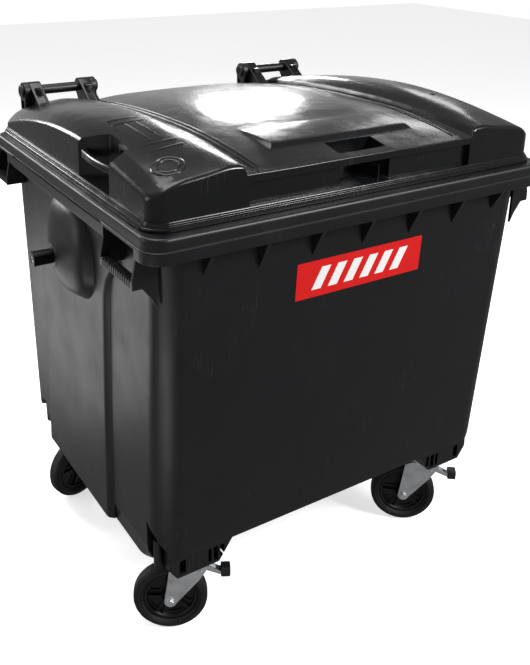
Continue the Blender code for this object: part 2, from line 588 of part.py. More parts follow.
def castor(tag, x, y, angle, braked):
    """One swivel castor. Local X points away from the wheel, the wheel turns about local Y."""
    root = bpy.data.objects.new("castor_" + tag, None)
    bpy.context.scene.collection.objects.link(root)
    root.location = (x, y, 0)
    root.rotation_euler.z = math.radians(angle)
    root.parent = bin_root
    name = "castor_" + tag + "_"
    centre = Vector((-CASTOR_TRAIL, 0, WHEEL_R))

    plate = block(name + "top_plate", (-PLATE_L / 2, PLATE_L / 2), (-PLATE_W / 2, PLATE_W / 2),
                  (PLATE_TOP_Z - PLATE_T, PLATE_TOP_Z), 0.0, ZINC)
    race_z = PLATE_TOP_Z - PLATE_T
    join(plate, rod("race", CROWN_R - 0.004, (0, 0, race_z + 0.002), (0, 0, race_z - RACE_T), segments=24))
    cut(plate, rod("hole", KINGPIN_R + FIT, (0, 0, race_z - 0.02), (0, 0, PLATE_TOP_Z + 0.01), segments=12))
    made = [plate]

    # fork: a round crown with two tapering legs
    crown_top = race_z - RACE_T - FIT
    crown = rod(name + "fork", CROWN_R, (0, 0, crown_top), (0, 0, crown_top - CROWN_T), ZINC, 20)
    shoulder_z = crown_top - CROWN_T
    leg_outline = [
        (-0.052, shoulder_z - 0.004), (-0.030, shoulder_z + 0.006), (0.046, shoulder_z + 0.006),
        (PEDAL_X + 0.020, shoulder_z - 0.006), (PEDAL_X - 0.003, shoulder_z - 0.048),
    ] + arc(centre.x, centre.z, 0.0165, -20, -180, 8)
    for way in (-1, 1):
        join(crown, prism("leg", leg_outline, "Y", *mirrored(way, FORK_GAP, FORK_GAP + FORK_T)))
    join(crown, block("bridge", (-0.034, 0.046), (-FORK_GAP - 0.002, FORK_GAP + 0.002),
                      (shoulder_z + 0.001, shoulder_z + 0.0055)))
    past = Vector((0, 0.06, 0))
    cut(crown, rod("eye", AXLE_R + FIT, centre - past, centre + past, segments=12),
        rod("hole", KINGPIN_R + FIT, (0, 0, shoulder_z - 0.02), (0, 0, crown_top + 0.01), segments=12))
    made.append(crown)

    # kingpin riveted through plate and crown
    pin = rod(name + "kingpin", KINGPIN_R, (0, 0, PLATE_TOP_Z - 0.0005), (0, 0, shoulder_z - 0.004), ZINC, 12)
    join(pin, rod("head", 0.011, (0, 0, shoulder_z - FIT - 0.004), (0, 0, shoulder_z - FIT), segments=12))
    made.append(pin)

    # wheel
    half = TYRE_W / 2
    profile = [
        (TYRE_INNER_R, -half + 0.006), (WHEEL_R - 0.014, -half), (WHEEL_R - 0.004, -half + 0.006),
        (WHEEL_R, -half + 0.015), (WHEEL_R, half - 0.015), (WHEEL_R - 0.004, half - 0.006),
        (WHEEL_R - 0.014, half), (TYRE_INNER_R, half - 0.006),
    ]
    tyre = spin(name + "tyre", profile, RUBBER)
    band, web = RIM_WIDTH / 2 - 0.006, RIM_WEB_T / 2
    bore, rim_r = BUSH_R + FIT, TYRE_INNER_R - FIT
    wheel = spin(name + "wheel_rim", [
        (bore, -HUB_W / 2), (HUB_R - 0.003, -HUB_W / 2), (HUB_R, -web), (rim_r - 0.010, -web),
        (rim_r - 0.007, -band), (rim_r, -band), (rim_r, band), (rim_r - 0.007, band), (rim_r - 0.010, web),
        (HUB_R, web), (HUB_R - 0.003, HUB_W / 2), (bore, HUB_W / 2),
    ], WHEEL_PLASTIC)
    for i in range(WHEEL_WINDOWS):
        middle = 69 + 360 * i / WHEEL_WINDOWS
        inner_edge = arc(0, 0, HUB_R + 0.008, middle - 11, middle + 11, 2)
        outer_edge = arc(0, 0, rim_r - 0.015, middle + 20, middle - 20, 2)
        cut(wheel, prism("window", inner_edge + outer_edge, "Y", -HUB_W / 2, HUB_W / 2))
    bush = rod(name + "bush", BUSH_R, (0, -HUB_W / 2 - 0.001, 0), (0, HUB_W / 2 + 0.001, 0), ZINC, 16)
    cut(bush, rod("bore", AXLE_R + FIT, (0, -HUB_W, 0), (0, HUB_W, 0), segments=12))
    for obj in (tyre, wheel, bush):
        obj.location = centre
        made.append(obj)

    # axle bolt and nut
    leg_face = FORK_GAP + FORK_T
    bolt = rod(name + "axle_bolt", AXLE_R, centre + Vector((0, -leg_face - 0.004, 0)),
               centre + Vector((0, leg_face + 0.012, 0)), ZINC, 12)
    join(bolt, rod("head", AXLE_HEAD_R, centre + Vector((0, -leg_face - FIT - 0.0065, 0)),
                   centre + Vector((0, -leg_face - FIT, 0)), segments=6))
    nut = rod(name + "axle_nut", AXLE_HEAD_R, centre + Vector((0, leg_face + FIT, 0)),
              centre + Vector((0, leg_face + 0.0085, 0)), ZINC, 6)
    cut(nut, rod("bore", AXLE_R + FIT, centre, centre + Vector((0, 0.08, 0)), segments=12))
    made += [bolt, nut]

    # foot brake: a lever with a pad outside and a shoe over the tyre
    if braked:
        x, z = PEDAL_X, PEDAL_Z
        lever = prism(name + "brake_lever", [
            (x - 0.008, z - 0.007), (x + 0.012, z - 0.014), (PAD_X[0] - 0.004, TONGUE_Z[0]),
            (PAD_X[0] + TONGUE_IN, TONGUE_Z[0]), (PAD_X[0] + TONGUE_IN, TONGUE_Z[1]),
            (PAD_X[0] - 0.004, TONGUE_Z[1]), (x + 0.004, z + 0.006), (x - 0.008, z + 0.005),
        ], "Y", -PEDAL_W / 2, PEDAL_W / 2, ZINC)
        shoe_y = (-PEDAL_W / 2, PEDAL_W / 2)
        join(lever, block("shoe", (x - 0.012, x + 0.002), shoe_y, (z - 0.021, z - 0.003)))
        cut(lever, rod("bore", PEDAL_PIN_R + FIT, (x, -0.05, z), (x, 0.05, z), segments=12))
        spindle = rod(name + "brake_spindle", PEDAL_PIN_R, (x, -leg_face - 0.003, z),
                      (x, leg_face + 0.003, z), ZINC, 12)
        cut(crown, rod("eye", PEDAL_PIN_R + FIT, (x, -0.06, z), (x, 0.06, z), segments=12))
        pad = block(name + "brake_pad", PAD_X, (-PAD_W / 2, PAD_W / 2), PAD_Z, PAD_ROUND, PAD_GREY)
        cut(pad, block(
            "slot", (PAD_X[0] - 0.01, PAD_X[0] + TONGUE_IN + FIT), (-PEDAL_W / 2 - FIT, PEDAL_W / 2 + FIT),
            (TONGUE_Z[0] - FIT, TONGUE_Z[1] + FIT)))
        made += [lever, spindle, pad]
    for obj in made:
        obj.parent = root


for tag, angle in CASTOR_ANGLES.items():
    end, side = tag.split("_")
    castor(
        tag, CASTOR_X * (-1 if side == "left" else 1), CASTOR_FRONT_Y if end == "front" else CASTOR_REAR_Y,
        angle, end == "front",
    )

for obj in bpy.data.objects:
    if obj.parent is None and obj is not bin_root:
        obj.parent = bin_root
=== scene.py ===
import math

import bmesh
import bpy
from mathutils import Matrix, Vector


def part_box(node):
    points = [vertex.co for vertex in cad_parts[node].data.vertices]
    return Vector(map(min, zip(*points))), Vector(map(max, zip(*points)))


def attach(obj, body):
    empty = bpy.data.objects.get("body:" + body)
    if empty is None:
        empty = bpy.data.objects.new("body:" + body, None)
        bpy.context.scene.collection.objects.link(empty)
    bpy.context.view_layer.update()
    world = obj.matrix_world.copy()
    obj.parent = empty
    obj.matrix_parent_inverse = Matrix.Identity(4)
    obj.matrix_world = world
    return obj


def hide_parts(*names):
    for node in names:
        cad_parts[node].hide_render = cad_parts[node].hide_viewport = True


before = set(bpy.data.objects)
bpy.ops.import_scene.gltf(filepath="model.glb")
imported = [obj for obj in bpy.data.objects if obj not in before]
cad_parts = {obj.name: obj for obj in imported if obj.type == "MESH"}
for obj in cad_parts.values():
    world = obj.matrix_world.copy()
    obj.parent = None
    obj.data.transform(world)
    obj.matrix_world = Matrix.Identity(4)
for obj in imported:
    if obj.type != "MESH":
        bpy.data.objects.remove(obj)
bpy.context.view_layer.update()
tub_low, tub_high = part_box("body_tub")
RIM_HALF_Y = 0.524
MID_Y = tub_low.y + RIM_HALF_Y  # the middle of the rim, which every size below is measured from


# ---------------------------------------------------------------- camera, lights and floor
# A three-quarter view from above the front left corner, in a dim hall before a white backdrop. Panels
# overhead and behind are for the lid, cards on the left for the side wall, and a fill for the front.

CAMERA_AT = (-1.32869, -1.98258 + MID_Y, 1.86211)
YAW, PITCH, ROLL = math.radians(32.3707), math.radians(-17.8538), math.radians(1.04519)
SENSOR, LENS = 36.0, 46.336385  # millimetres
SHIFT_X, SHIFT_Y = 0.04242556, -0.22092030  # of the optical axis, in widths of the sensor

forward = Vector((math.sin(YAW) * math.cos(PITCH), math.cos(YAW) * math.cos(PITCH), math.sin(PITCH)))
level_right = Vector((math.cos(YAW), -math.sin(YAW), 0))
level_up = level_right.cross(forward)
right = math.cos(ROLL) * level_right + math.sin(ROLL) * level_up
up = -math.sin(ROLL) * level_right + math.cos(ROLL) * level_up
camera_data = bpy.data.cameras.new("camera")
camera_data.sensor_width = SENSOR
camera_data.lens = LENS
camera_data.shift_x, camera_data.shift_y = SHIFT_X, SHIFT_Y
camera_data.clip_end = 50
camera = bpy.data.objects.new("camera", camera_data)
bpy.context.scene.collection.objects.link(camera)
camera.matrix_world = Matrix((
    (right.x, up.x, -forward.x, CAMERA_AT[0]),
    (right.y, up.y, -forward.y, CAMERA_AT[1]),
    (right.z, up.z, -forward.z, CAMERA_AT[2]),
    (0, 0, 0, 1),
))
bpy.context.scene.camera = camera
bpy.context.scene.view_settings.view_transform = "Standard"


def colour(hex_value):
    """An sRGB hex colour as the linear values that a shader takes."""
    channels = [int(hex_value[i:i + 2], 16) / 255 for i in (1, 3, 5)]
    return tuple(c / 12.92 if c <= 0.04045 else ((c + 0.055) / 1.055) ** 2.4 for c in channels) + (1.0,)


def area_light(name, place, aim, size, power):
    """A soft rectangular panel that faces a point."""
    data = bpy.data.lights.new(name, "AREA")
    data.shape = "RECTANGLE"
    data.size, data.size_y = size
    data.energy = power
    lamp = bpy.data.objects.new(name, data)
    bpy.context.scene.collection.objects.link(lamp)
    lamp.location = place
    lamp.visible_camera = False
    lamp.rotation_euler = (Vector(aim) - Vector(place)).to_track_quat("-Z", "Y").to_euler()


LIGHTS = (  # name, place, aim, size, watts
    ("rear panel", (2.45, 3.9, 2.4), (0.0, 0.0, 1.3), (0.9, 0.5), 42),
    ("hall wall", (1.5, 5.2, 1.7), (0.0, 0.0, 1.3), (6.5, 2.4), 17),
    ("rear right panel", (3.5, 2.6, 2.9), (0.45, 0.0, 1.3), (0.9, 0.6), 9),
    ("rear left panel", (-1.7, 3.3, 2.3), (-0.55, 0.0, 1.25), (0.7, 1.3), 60),
    ("overhead panel", (-0.6, 0.2, 3.8), (0, 0.0, 1.2), (2.8, 2.0), 90),
    ("left card", (-3.4, 1.0, 1.6), (-0.5, 0.1, 0.9), (1.0, 2.0), 16),
    ("left floor card", (-1.5, 1.5, 0.02), (-1.5, 1.5, 1.0), (1.2, 1.8), 13),
    ("front fill", (2.2, -3.6, 3.6), (0.0, -0.4, 0.9), (1.4, 1.4), 250),
    ("corner strip", (-1.6, -0.96, 0.01), (-1.6, -0.96, 1.0), (1.3, 0.12), 9.0),
)
for light in LIGHTS:
    area_light(*light)
# the strip lies on the floor face up, turned so that the rounded corner mirrors it as one line
bpy.context.scene.objects["corner strip"].rotation_euler = (math.pi, 0, math.radians(-26))


def deselect():
    """Leaves edit mode, with nothing selected."""
    if bpy.context.mode != "OBJECT":
        bpy.ops.object.mode_set(mode="OBJECT")
    bpy.ops.object.select_all(action="DESELECT")


def pick(obj):
    """Makes an object the only selected one, and the active one."""
    deselect()
    obj.select_set(True)
    bpy.context.view_layer.objects.active = obj


def add_node(tree, kind, settings=None, links=None):
    """Adds a shader node, sets its properties and inputs, and links sockets into it."""
    made = tree.nodes.new(kind)
    for key, value in (settings or {}).items():
        if isinstance(key, str) and hasattr(made, key):
            setattr(made, key, value)
        else:
            made.inputs[key].default_value = value
    for key, source in (links or {}).items():
        tree.links.new(source, made.inputs[key])
    return made


def new_material(name):
    """A material with what its nodes start from: (material, tree, shader, object coordinates)."""
    material = bpy.data.materials.new(name)
    material.use_nodes = True
    tree = material.node_tree
    spot = add_node(tree, "ShaderNodeTexCoord").outputs["Object"]
    return material, tree, tree.nodes["Principled BSDF"], spot


def noise(tree, spot, scale, detail=2.0):
    made = add_node(tree, "ShaderNodeTexNoise", {"Scale": scale, "Detail": detail}, {"Vector": spot})
    return made.outputs["Fac"]


def paint(tree, shader, source, dark, light, low=0.0, high=1.0):
    """Base colour from dark to light over part of a texture's range."""
    ramp = add_node(tree, "ShaderNodeValToRGB", None, {"Fac": source})
    for stop, place, tone in zip(ramp.color_ramp.elements, (low, high), (dark, light)):
        stop.position, stop.color = place, colour(tone)
    tree.links.new(ramp.outputs["Color"], shader.inputs["Base Color"])
    return ramp.outputs["Color"]


def remap(tree, source, low, high, start=0.0, end=1.0):
    """A texture's range from start to end, stretched from low to high."""
    settings = {"From Min": start, "From Max": end, "To Min": low, "To Max": high}
    return add_node(tree, "ShaderNodeMapRange", settings, {"Value": source}).outputs["Result"]


def relief(tree, shader, source, depth, under=None):
    """Raises the surface by a texture, over the relief that is under it, if any."""
    links = {"Height": source}
    if under:
        links["Normal"] = under
    normal = add_node(tree, "ShaderNodeBump", {"Strength": 1.0, "Distance": depth}, links).outputs["Normal"]
    tree.links.new(normal, shader.inputs["Normal"])
    return normal


deselect()
bpy.ops.mesh.primitive_plane_add(size=24.0)
floor = bpy.context.object
floor.name = "studio_floor"
# Matt white floor paint: a plain ground that glows a little, so it stays white where the panels miss it.
FLOOR_PAINT, tree, shader, spot = new_material("matt white studio floor")
shader.inputs["Roughness"].default_value = 0.9
shader.inputs["Specular IOR Level"].default_value = 0.1
shader.inputs["Emission Color"].default_value = colour("#FFFFFF")
shader.inputs["Emission Strength"].default_value = 0.62
paint(tree, shader, noise(tree, spot, 1.5), "#F4F4F4", "#FBFBFB")
floor.data.materials.append(FLOOR_PAINT)
floor.visible_glossy = False
floor.visible_diffuse = False

# the room is white to the camera and dim to everything else, as a hall is behind a white backdrop
ROOM_LIGHT = 0.26
world = bpy.data.worlds.new("studio")
bpy.context.scene.world = world
world.use_nodes = True
background = world.node_tree.nodes["Background"]
background.inputs["Color"].default_value = colour("#FFFFFF")
ray = world.node_tree.nodes.new("ShaderNodeLightPath")
level = remap(world.node_tree, ray.outputs["Is Camera Ray"], ROOM_LIGHT, 1.0)
world.node_tree.links.new(level, background.inputs["Strength"])


# ---------------------------------------------------------------- tub
# The real tub is one injection moulding of high-density polyethylene, about 6 mm thick: tapered walls,
# a stepped rim skirt, lifting gussets, handles, trunnion bosses, hinge brackets and castor housings.

RIM_HALF_X = 0.614
FIT = 0.0003  # clearance round a pin, and between pieces that sit on each other
RIM_TOP_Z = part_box("lid")[0].z - FIT
FLOOR_Z = tub_low.z
SILL_Z = FLOOR_Z + 0.070
TUB_WALL = 0.006
WALL_CORNER_R = 0.065
TOP_X, TOP_FRONT, TOP_REAR = 0.567, 0.4855, 0.493
SILL_X, SILL_FRONT, SILL_REAR = 0.551, 0.4375, 0.466
FLOOR_X, FLOOR_FRONT, FLOOR_REAR = 0.520, 0.3355, 0.364
WALL_TOP_Z = RIM_TOP_Z - 0.007
RIM_Z0, RIM_STEP_Z = RIM_TOP_Z - 0.0595, RIM_TOP_Z - 0.030
RIM_CORNER_R = 0.052


def face_outwards(obj):
    """Turns every face of the mesh being edited outwards, and leaves edit mode."""
    bpy.ops.mesh.select_all(action="SELECT")
    bpy.ops.mesh.normals_make_consistent(inside=False)
    bpy.ops.object.mode_set(mode="OBJECT")
    return obj


def sweep(name, rings):
    """A closed body: a filled circle moved to the first outline, then extruded from ring to ring."""
    deselect()
    bpy.ops.mesh.primitive_circle_add(vertices=len(rings[0]), fill_type="NGON")
    obj = bpy.context.object
    obj.name = name
    for vert, point in zip(obj.data.vertices, rings[0]):
        vert.co = point
    bpy.ops.object.mode_set(mode="EDIT")
    bpy.ops.mesh.select_all(action="SELECT")
    # the new points of an extrusion come last and in order, so each takes its place on the next outline
    for ring in rings[1:]:
        bpy.ops.mesh.extrude_region_move()
        shape = bmesh.from_edit_mesh(obj.data)
        for vert, point in zip([v for v in shape.verts if v.select], ring):
            vert.co = point
        bmesh.update_edit_mesh(obj.data)
    return face_outwards(obj)


def soften(obj, width, segments=2, sharpness=50):
    """Rounds the sharp edges of a body."""
    pick(obj)
    bpy.ops.object.mode_set(mode="EDIT")
    bpy.ops.mesh.select_mode(type="EDGE")
    bpy.ops.mesh.select_all(action="DESELECT")
    bpy.ops.mesh.edges_select_sharp(sharpness=math.radians(sharpness))
    bpy.ops.mesh.bevel(offset=width, segments=segments, affect="EDGES", clamp_overlap=True)
    bpy.ops.mesh.select_mode(type="VERT")
    bpy.ops.object.mode_set(mode="OBJECT")
    return obj


def prism(name, outline, axis, low, high, round_off=0.0):
    """A flat outline extruded along X, Y or Z; the outline gives the other two coordinates."""
    def place(a, b, along):
        return {"X": (along, a, b), "Y": (a, along, b), "Z": (a, b, along)}[axis]

    obj = sweep(name, [[place(a, b, along) for a, b in outline] for along in (low, high)])
    return soften(obj, round_off) if round_off else obj


def named(name, round_off=0.0, segments=2):
    """The solid just added, with its name, its placing applied and its edges rounded."""
    obj = bpy.context.object
    obj.name = name
    bpy.ops.object.transform_apply(location=True, rotation=True, scale=True)
    return soften(obj, round_off, segments) if round_off else obj


def block(name, x, y, z, round_off=0.0, segments=2):
    """A cube at its size and place, its edges rounded."""
    deselect()
    size = (x[1] - x[0], y[1] - y[0], z[1] - z[0])
    middle = ((x[0] + x[1]) / 2, (y[0] + y[1]) / 2, (z[0] + z[1]) / 2)
    bpy.ops.mesh.primitive_cube_add(size=1.0, location=middle, scale=size)
    return named(name, round_off, segments)


def rod(name, radius, start, end, vertices=40, end_radius=None, round_off=0.0):
    """A cylinder or cone between two points, with its rims rounded."""
    deselect()
    start, end = Vector(start), Vector(end)
    axis = end - start
    bpy.ops.mesh.primitive_cone_add(
        vertices=vertices, radius1=radius, radius2=radius if end_radius is None else end_radius,
        depth=axis.length, location=(start + end) / 2, rotation=axis.to_track_quat("Z", "Y").to_euler(),
    )
    return named(name, round_off)


def combine(target, others, operation):
    """Joins bodies to a target or cuts them from it."""
    for other in others:
        pick(target)
        modifier = target.modifiers.new("join", "BOOLEAN")
        modifier.operation, modifier.solver, modifier.object = operation, "MANIFOLD", other
        bpy.ops.object.modifier_apply(modifier=modifier.name)
        bpy.data.objects.remove(other)
    return target


def join(target, *others):
    return combine(target, others, "UNION")


def cut(target, *others):
    return combine(target, others, "DIFFERENCE")


def rounded_ring(half_x, front, rear, radius, z, steps=10):
    """Points of a rounded rectangle in plan."""
    points = []
    for x, y, start in ((half_x, rear, 0), (-half_x, rear, 90), (-half_x, -front, 180), (half_x, -front, 270)):
        cx, cy = x - math.copysign(radius, x), y - math.copysign(radius, y)
        for step in range(steps + 1):
            angle = math.radians(start + 90 * step / steps)
            points.append((cx + radius * math.cos(angle), cy + radius * math.sin(angle), z))
    return points


def arc(cx, cy, radius, start, end, steps):
    angles = [math.radians(start + (end - start) * i / steps) for i in range(steps + 1)]
    return [(cx + radius * math.cos(a), cy + radius * math.sin(a)) for a in angles]


def mirrored(side, low, high):
    return sorted((side * low, side * high))


def settle(obj, body, slot, material, *nodes, smooth=32):
    """Moves a finished mesh to its place and says which body and CAD nodes it belongs to."""
    obj.data.transform(Matrix.Translation((0, MID_Y, 0)))
    pick(obj)
    bpy.ops.object.shade_smooth_by_angle(angle=math.radians(smooth))
    modifier = obj.modifiers.new("even shading", "WEIGHTED_NORMAL")
    modifier.keep_sharp = True
    bpy.ops.object.modifier_apply(modifier=modifier.name)
    if material:
        obj.data.materials.clear()
        obj.data.materials.append(material)
    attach(obj, body)
    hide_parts(*nodes)
    return obj


def wall_share(z):
    return (z - SILL_Z) / (WALL_TOP_Z - SILL_Z)


def side_wall(z):
    """Half length of the tub at a height above the sill."""
    return SILL_X + (TOP_X - SILL_X) * wall_share(z)


TUB_LEVELS = (
    (FLOOR_Z, FLOOR_X, FLOOR_FRONT, FLOOR_REAR),
    (FLOOR_Z + 0.014, FLOOR_X + 0.020, FLOOR_FRONT + 0.022, FLOOR_REAR + 0.022),
    (SILL_Z - 0.008, SILL_X - 0.005, SILL_FRONT - 0.014, SILL_REAR - 0.014),
    (SILL_Z + 0.003, SILL_X - 0.001, SILL_FRONT - 0.0015, SILL_REAR - 0.0015),
    (SILL_Z + 0.018, SILL_X + 0.0003, SILL_FRONT + 0.001, SILL_REAR + 0.0005),
    (WALL_TOP_Z, TOP_X, TOP_FRONT, TOP_REAR),
)
tub = sweep("tub_moulding", [rounded_ring(hx, front, rear, WALL_CORNER_R, z)
                             for z, hx, front, rear in TUB_LEVELS])

# the middle of each end wall stands proud of the corners, behind a step that leans forward as it rises
STEP_LINE = ((0.262, -0.142), (0.650, -0.165), (0.900, -0.184), (0.960, -0.192), (1.000, -0.205),
             (1.030, -0.228), (1.052, -0.262))
STEP_PROUD, STEP_RUN = 0.012, 0.014
for side in (-1, 1):
    front_line = [(y, z) for z, y in STEP_LINE]
    rear_line = [(0.330, 1.090), (0.300, 1.060), (0.268, 1.020), (0.250, 0.960), (0.262, 0.650), (0.300, 0.262)]
    outline = front_line + [(-0.262, 1.120), (0.330, 1.120)] + rear_line
    middle_y = 0.05
    rings = []
    for depth, run in ((-0.030, STEP_RUN), (-0.002, STEP_RUN), (STEP_PROUD * 0.75, 0.004),
                       (STEP_PROUD, -0.003), (STEP_PROUD + 0.0006, -0.010)):
        ring = []
        for y, z in outline:
            y += run if y > middle_y else -run
            ring.append((side * (side_wall(z) + depth), y, z))
        rings.append(ring)
    join(tub, sweep("end panel", rings))

# rear: a middle panel between two shallow creases that spread towards the floor
PANEL_PROUD = 0.0022
rings = []
for depth, run in ((-0.010, 0.012), (0.0, 0.012), (PANEL_PROUD, 0.0), (PANEL_PROUD, -0.006)):
    rings.append([
        (x + math.copysign(run, x), SILL_REAR + (TOP_REAR - SILL_REAR) * wall_share(z) + depth, z)
        for x, z in ((-0.342, 0.335), (0.342, 0.335), (0.303, 1.150), (-0.303, 1.150))])
join(tub, sweep("rear panel", rings))

# rim: a downward skirt with a rolled top, one step and a bead along its lower edge
rim_rings = []
for z, inset in (
    (RIM_Z0, 0.0016), (RIM_Z0 + 0.0012, 0.0003), (RIM_Z0 + 0.003, 0.0), (RIM_STEP_Z - 0.002, 0.0),
    (RIM_STEP_Z - 0.0005, 0.0006), (RIM_STEP_Z + 0.0008, 0.0024), (RIM_STEP_Z + 0.003, 0.0032),
    (RIM_TOP_Z - 0.009, 0.0034), (RIM_TOP_Z - 0.0045, 0.0046), (RIM_TOP_Z - 0.0018, 0.0066),
    (RIM_TOP_Z - 0.0004, 0.0092), (RIM_TOP_Z, 0.0125),
):
    half_y = RIM_HALF_Y - inset
    rim_rings.append(rounded_ring(RIM_HALF_X - inset, half_y, half_y, RIM_CORNER_R - inset, z))
rim = sweep("rim", rim_rings)
SKIRT_IN = 0.0085
half_y = RIM_HALF_Y - SKIRT_IN
cut(rim, sweep("groove", [
    rounded_ring(RIM_HALF_X - SKIRT_IN, half_y, half_y, RIM_CORNER_R - SKIRT_IN, z)
    for z in (RIM_Z0 - 0.010, WALL_TOP_Z - 0.002)
]))
join(tub, rim)

# gussets that carry the lifting comb, tapered from the skirt back to the wall
GUSSET_OUT, GUSSET_T, GUSSET_DROP = RIM_HALF_Y - 0.007, 0.010, 0.086
for share in (-0.74, -0.50, -0.25, 0.0, 0.25, 0.50, 0.74):
    for way, top, sill in ((-1, TOP_FRONT, SILL_FRONT), (1, TOP_REAR, SILL_REAR)):
        drop = GUSSET_DROP * (0.8 if abs(share) > 0.7 else 1.0)
        tip = sill + (top - sill) * wall_share(RIM_Z0 - drop) - 0.004
        outline = [
            (way * (top - 0.004), RIM_TOP_Z - 0.006), (way * GUSSET_OUT, RIM_TOP_Z - 0.012),
            (way * GUSSET_OUT, RIM_Z0 - 0.001), (way * tip, RIM_Z0 - drop),
        ]
        middle = share * RIM_HALF_X
        join(tub, prism("gusset", outline, "X", middle - GUSSET_T / 2, middle + GUSSET_T / 2, 0.0015))

# hinge brackets rise behind the rear rim, each with a boss round the bar and a web between two ribs
hinge_low, hinge_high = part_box("hinge_bar_left")
HINGE_Y, HINGE_Z = (hinge_low.y + hinge_high.y) / 2 - MID_Y, (hinge_low.z + hinge_high.z) / 2
HINGE_BAR_R = (hinge_high.z - hinge_low.z) / 2
HINGE_BOSS_R, HINGE_IN, HINGE_OUT = 0.0265, 0.2765, 0.5095
BRACKET_T, ARM_T = 0.018, 0.037
BRACKET_OUTLINE = (
    [(RIM_HALF_Y - 0.020, RIM_TOP_Z - 0.012), (RIM_HALF_Y - 0.020, RIM_Z0 + 0.004),
     (RIM_HALF_Y + 0.010, RIM_Z0 + 0.004), (HINGE_Y + 0.016, RIM_STEP_Z + 0.030)]
    + arc(HINGE_Y, HINGE_Z, HINGE_BOSS_R, -20, 200, 24)
    + [(RIM_HALF_Y + 0.003, RIM_TOP_Z + 0.010), (RIM_HALF_Y - 0.002, RIM_TOP_Z - 0.012)]
)


def hinge_bore(ends):
    start, end = ((x, HINGE_Y, HINGE_Z) for x in (ends[0] - 0.01, ends[1] + 0.01))
    return rod("bore", HINGE_BAR_R + FIT, start, end, 40)


for side in (-1, 1):
    for low in (HINGE_IN, HINGE_OUT - BRACKET_T):
        ends = mirrored(side, low, low + BRACKET_T)
        bracket = prism("bracket", BRACKET_OUTLINE, "X", *ends, 0.0018)
        for face in ends:
            way = -1 if face == ends[0] else 1
            cut(bracket, prism("web", [
                (RIM_HALF_Y + 0.009, RIM_STEP_Z + 0.012), (HINGE_Y + 0.010, RIM_STEP_Z + 0.034),
                (HINGE_Y + 0.016, HINGE_Z - 0.030), (HINGE_Y - 0.012, HINGE_Z - 0.030),
            ], "X", *sorted((face + way * 0.01, face - way * 0.005))))
        join(tub, cut(bracket, hinge_bore(ends)))

# trunnion bosses: an arched blister with a steep front flank that rises to a round seat for the pin
pin_low, pin_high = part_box("trunnion_left")
TRUNNION_Y, TRUNNION_Z = (pin_low.y + pin_high.y) / 2 - MID_Y, (pin_low.z + pin_high.z) / 2
TRUNNION_R, TRUNNION_END_X = (pin_high.z - pin_low.z) / 2, -pin_low.x
BOSS_FACE_X, BOSS_FACE_R, BOSS_BORE = tub_high.x, 0.034, 0.034
BOSS_POINTS = 64
BOSS_RINGS = (  # x, half width to the front and the rear, height below and above, power of the outline
    (TOP_X - 0.020, 0.150, 0.146, 0.118, 0.152, 2.8), (TOP_X + 0.004, 0.148, 0.143, 0.115, 0.151, 2.8),
    (TOP_X + 0.011, 0.144, 0.136, 0.110, 0.149, 2.7), (TOP_X + 0.026, 0.138, 0.122, 0.099, 0.140, 2.6),
    (TOP_X + 0.038, 0.126, 0.104, 0.090, 0.126, 2.5), (TOP_X + 0.046, 0.104, 0.086, 0.080, 0.104, 2.3),
    (BOSS_FACE_X - 0.014, 0.078, 0.070, 0.066, 0.080, 2.1),
    (BOSS_FACE_X - 0.008, 0.056, 0.052, 0.050, 0.058, 2.0),
    (BOSS_FACE_X - 0.004, *[BOSS_FACE_R + 0.006] * 3, BOSS_FACE_R + 0.007, 2.0),
    (BOSS_FACE_X - 0.0012, BOSS_FACE_R + 0.0005, *[BOSS_FACE_R] * 3, 2.0),
    (BOSS_FACE_X, *[BOSS_FACE_R - 0.0015] * 4, 2.0),
)
for side in (-1, 1):
    rings = []
    for x, to_front, to_rear, low, high, power in BOSS_RINGS:
        ring = []
        for i in range(BOSS_POINTS):
            angle = 2 * math.pi * (i + 0.5) / BOSS_POINTS
            c, s = math.cos(angle), math.sin(angle)
            y = (to_rear if c > 0 else to_front) * math.copysign(abs(c) ** (2 / power), c)
            z = (high if s > 0 else low) * math.copysign(abs(s) ** (2 / power), s)
            if c > 0:  # the rear flank slants in towards the bottom
                y *= 0.50 + 0.62 * (z + low) / (low + high)
            ring.append((side * x, TRUNNION_Y + y, TRUNNION_Z + z))
        rings.append(ring)
    join(tub, sweep("boss", rings))

# side skirt: a thin ledge and slot line under the rim, over the boss
for side in (-1, 1):
    x_pair = mirrored(side, TOP_X + 0.030, RIM_HALF_X - 0.002)
    join(tub, block("skirt", x_pair, (-0.288, 0.350), (RIM_Z0 - 0.004, RIM_Z0 + 0.008), 0.0015))
    cut(tub, block("slot", mirrored(side, RIM_HALF_X - 0.006, RIM_HALF_X + 0.01), (-0.278, 0.346),
                   (RIM_STEP_Z - 0.0045, RIM_STEP_Z + 0.0005)))

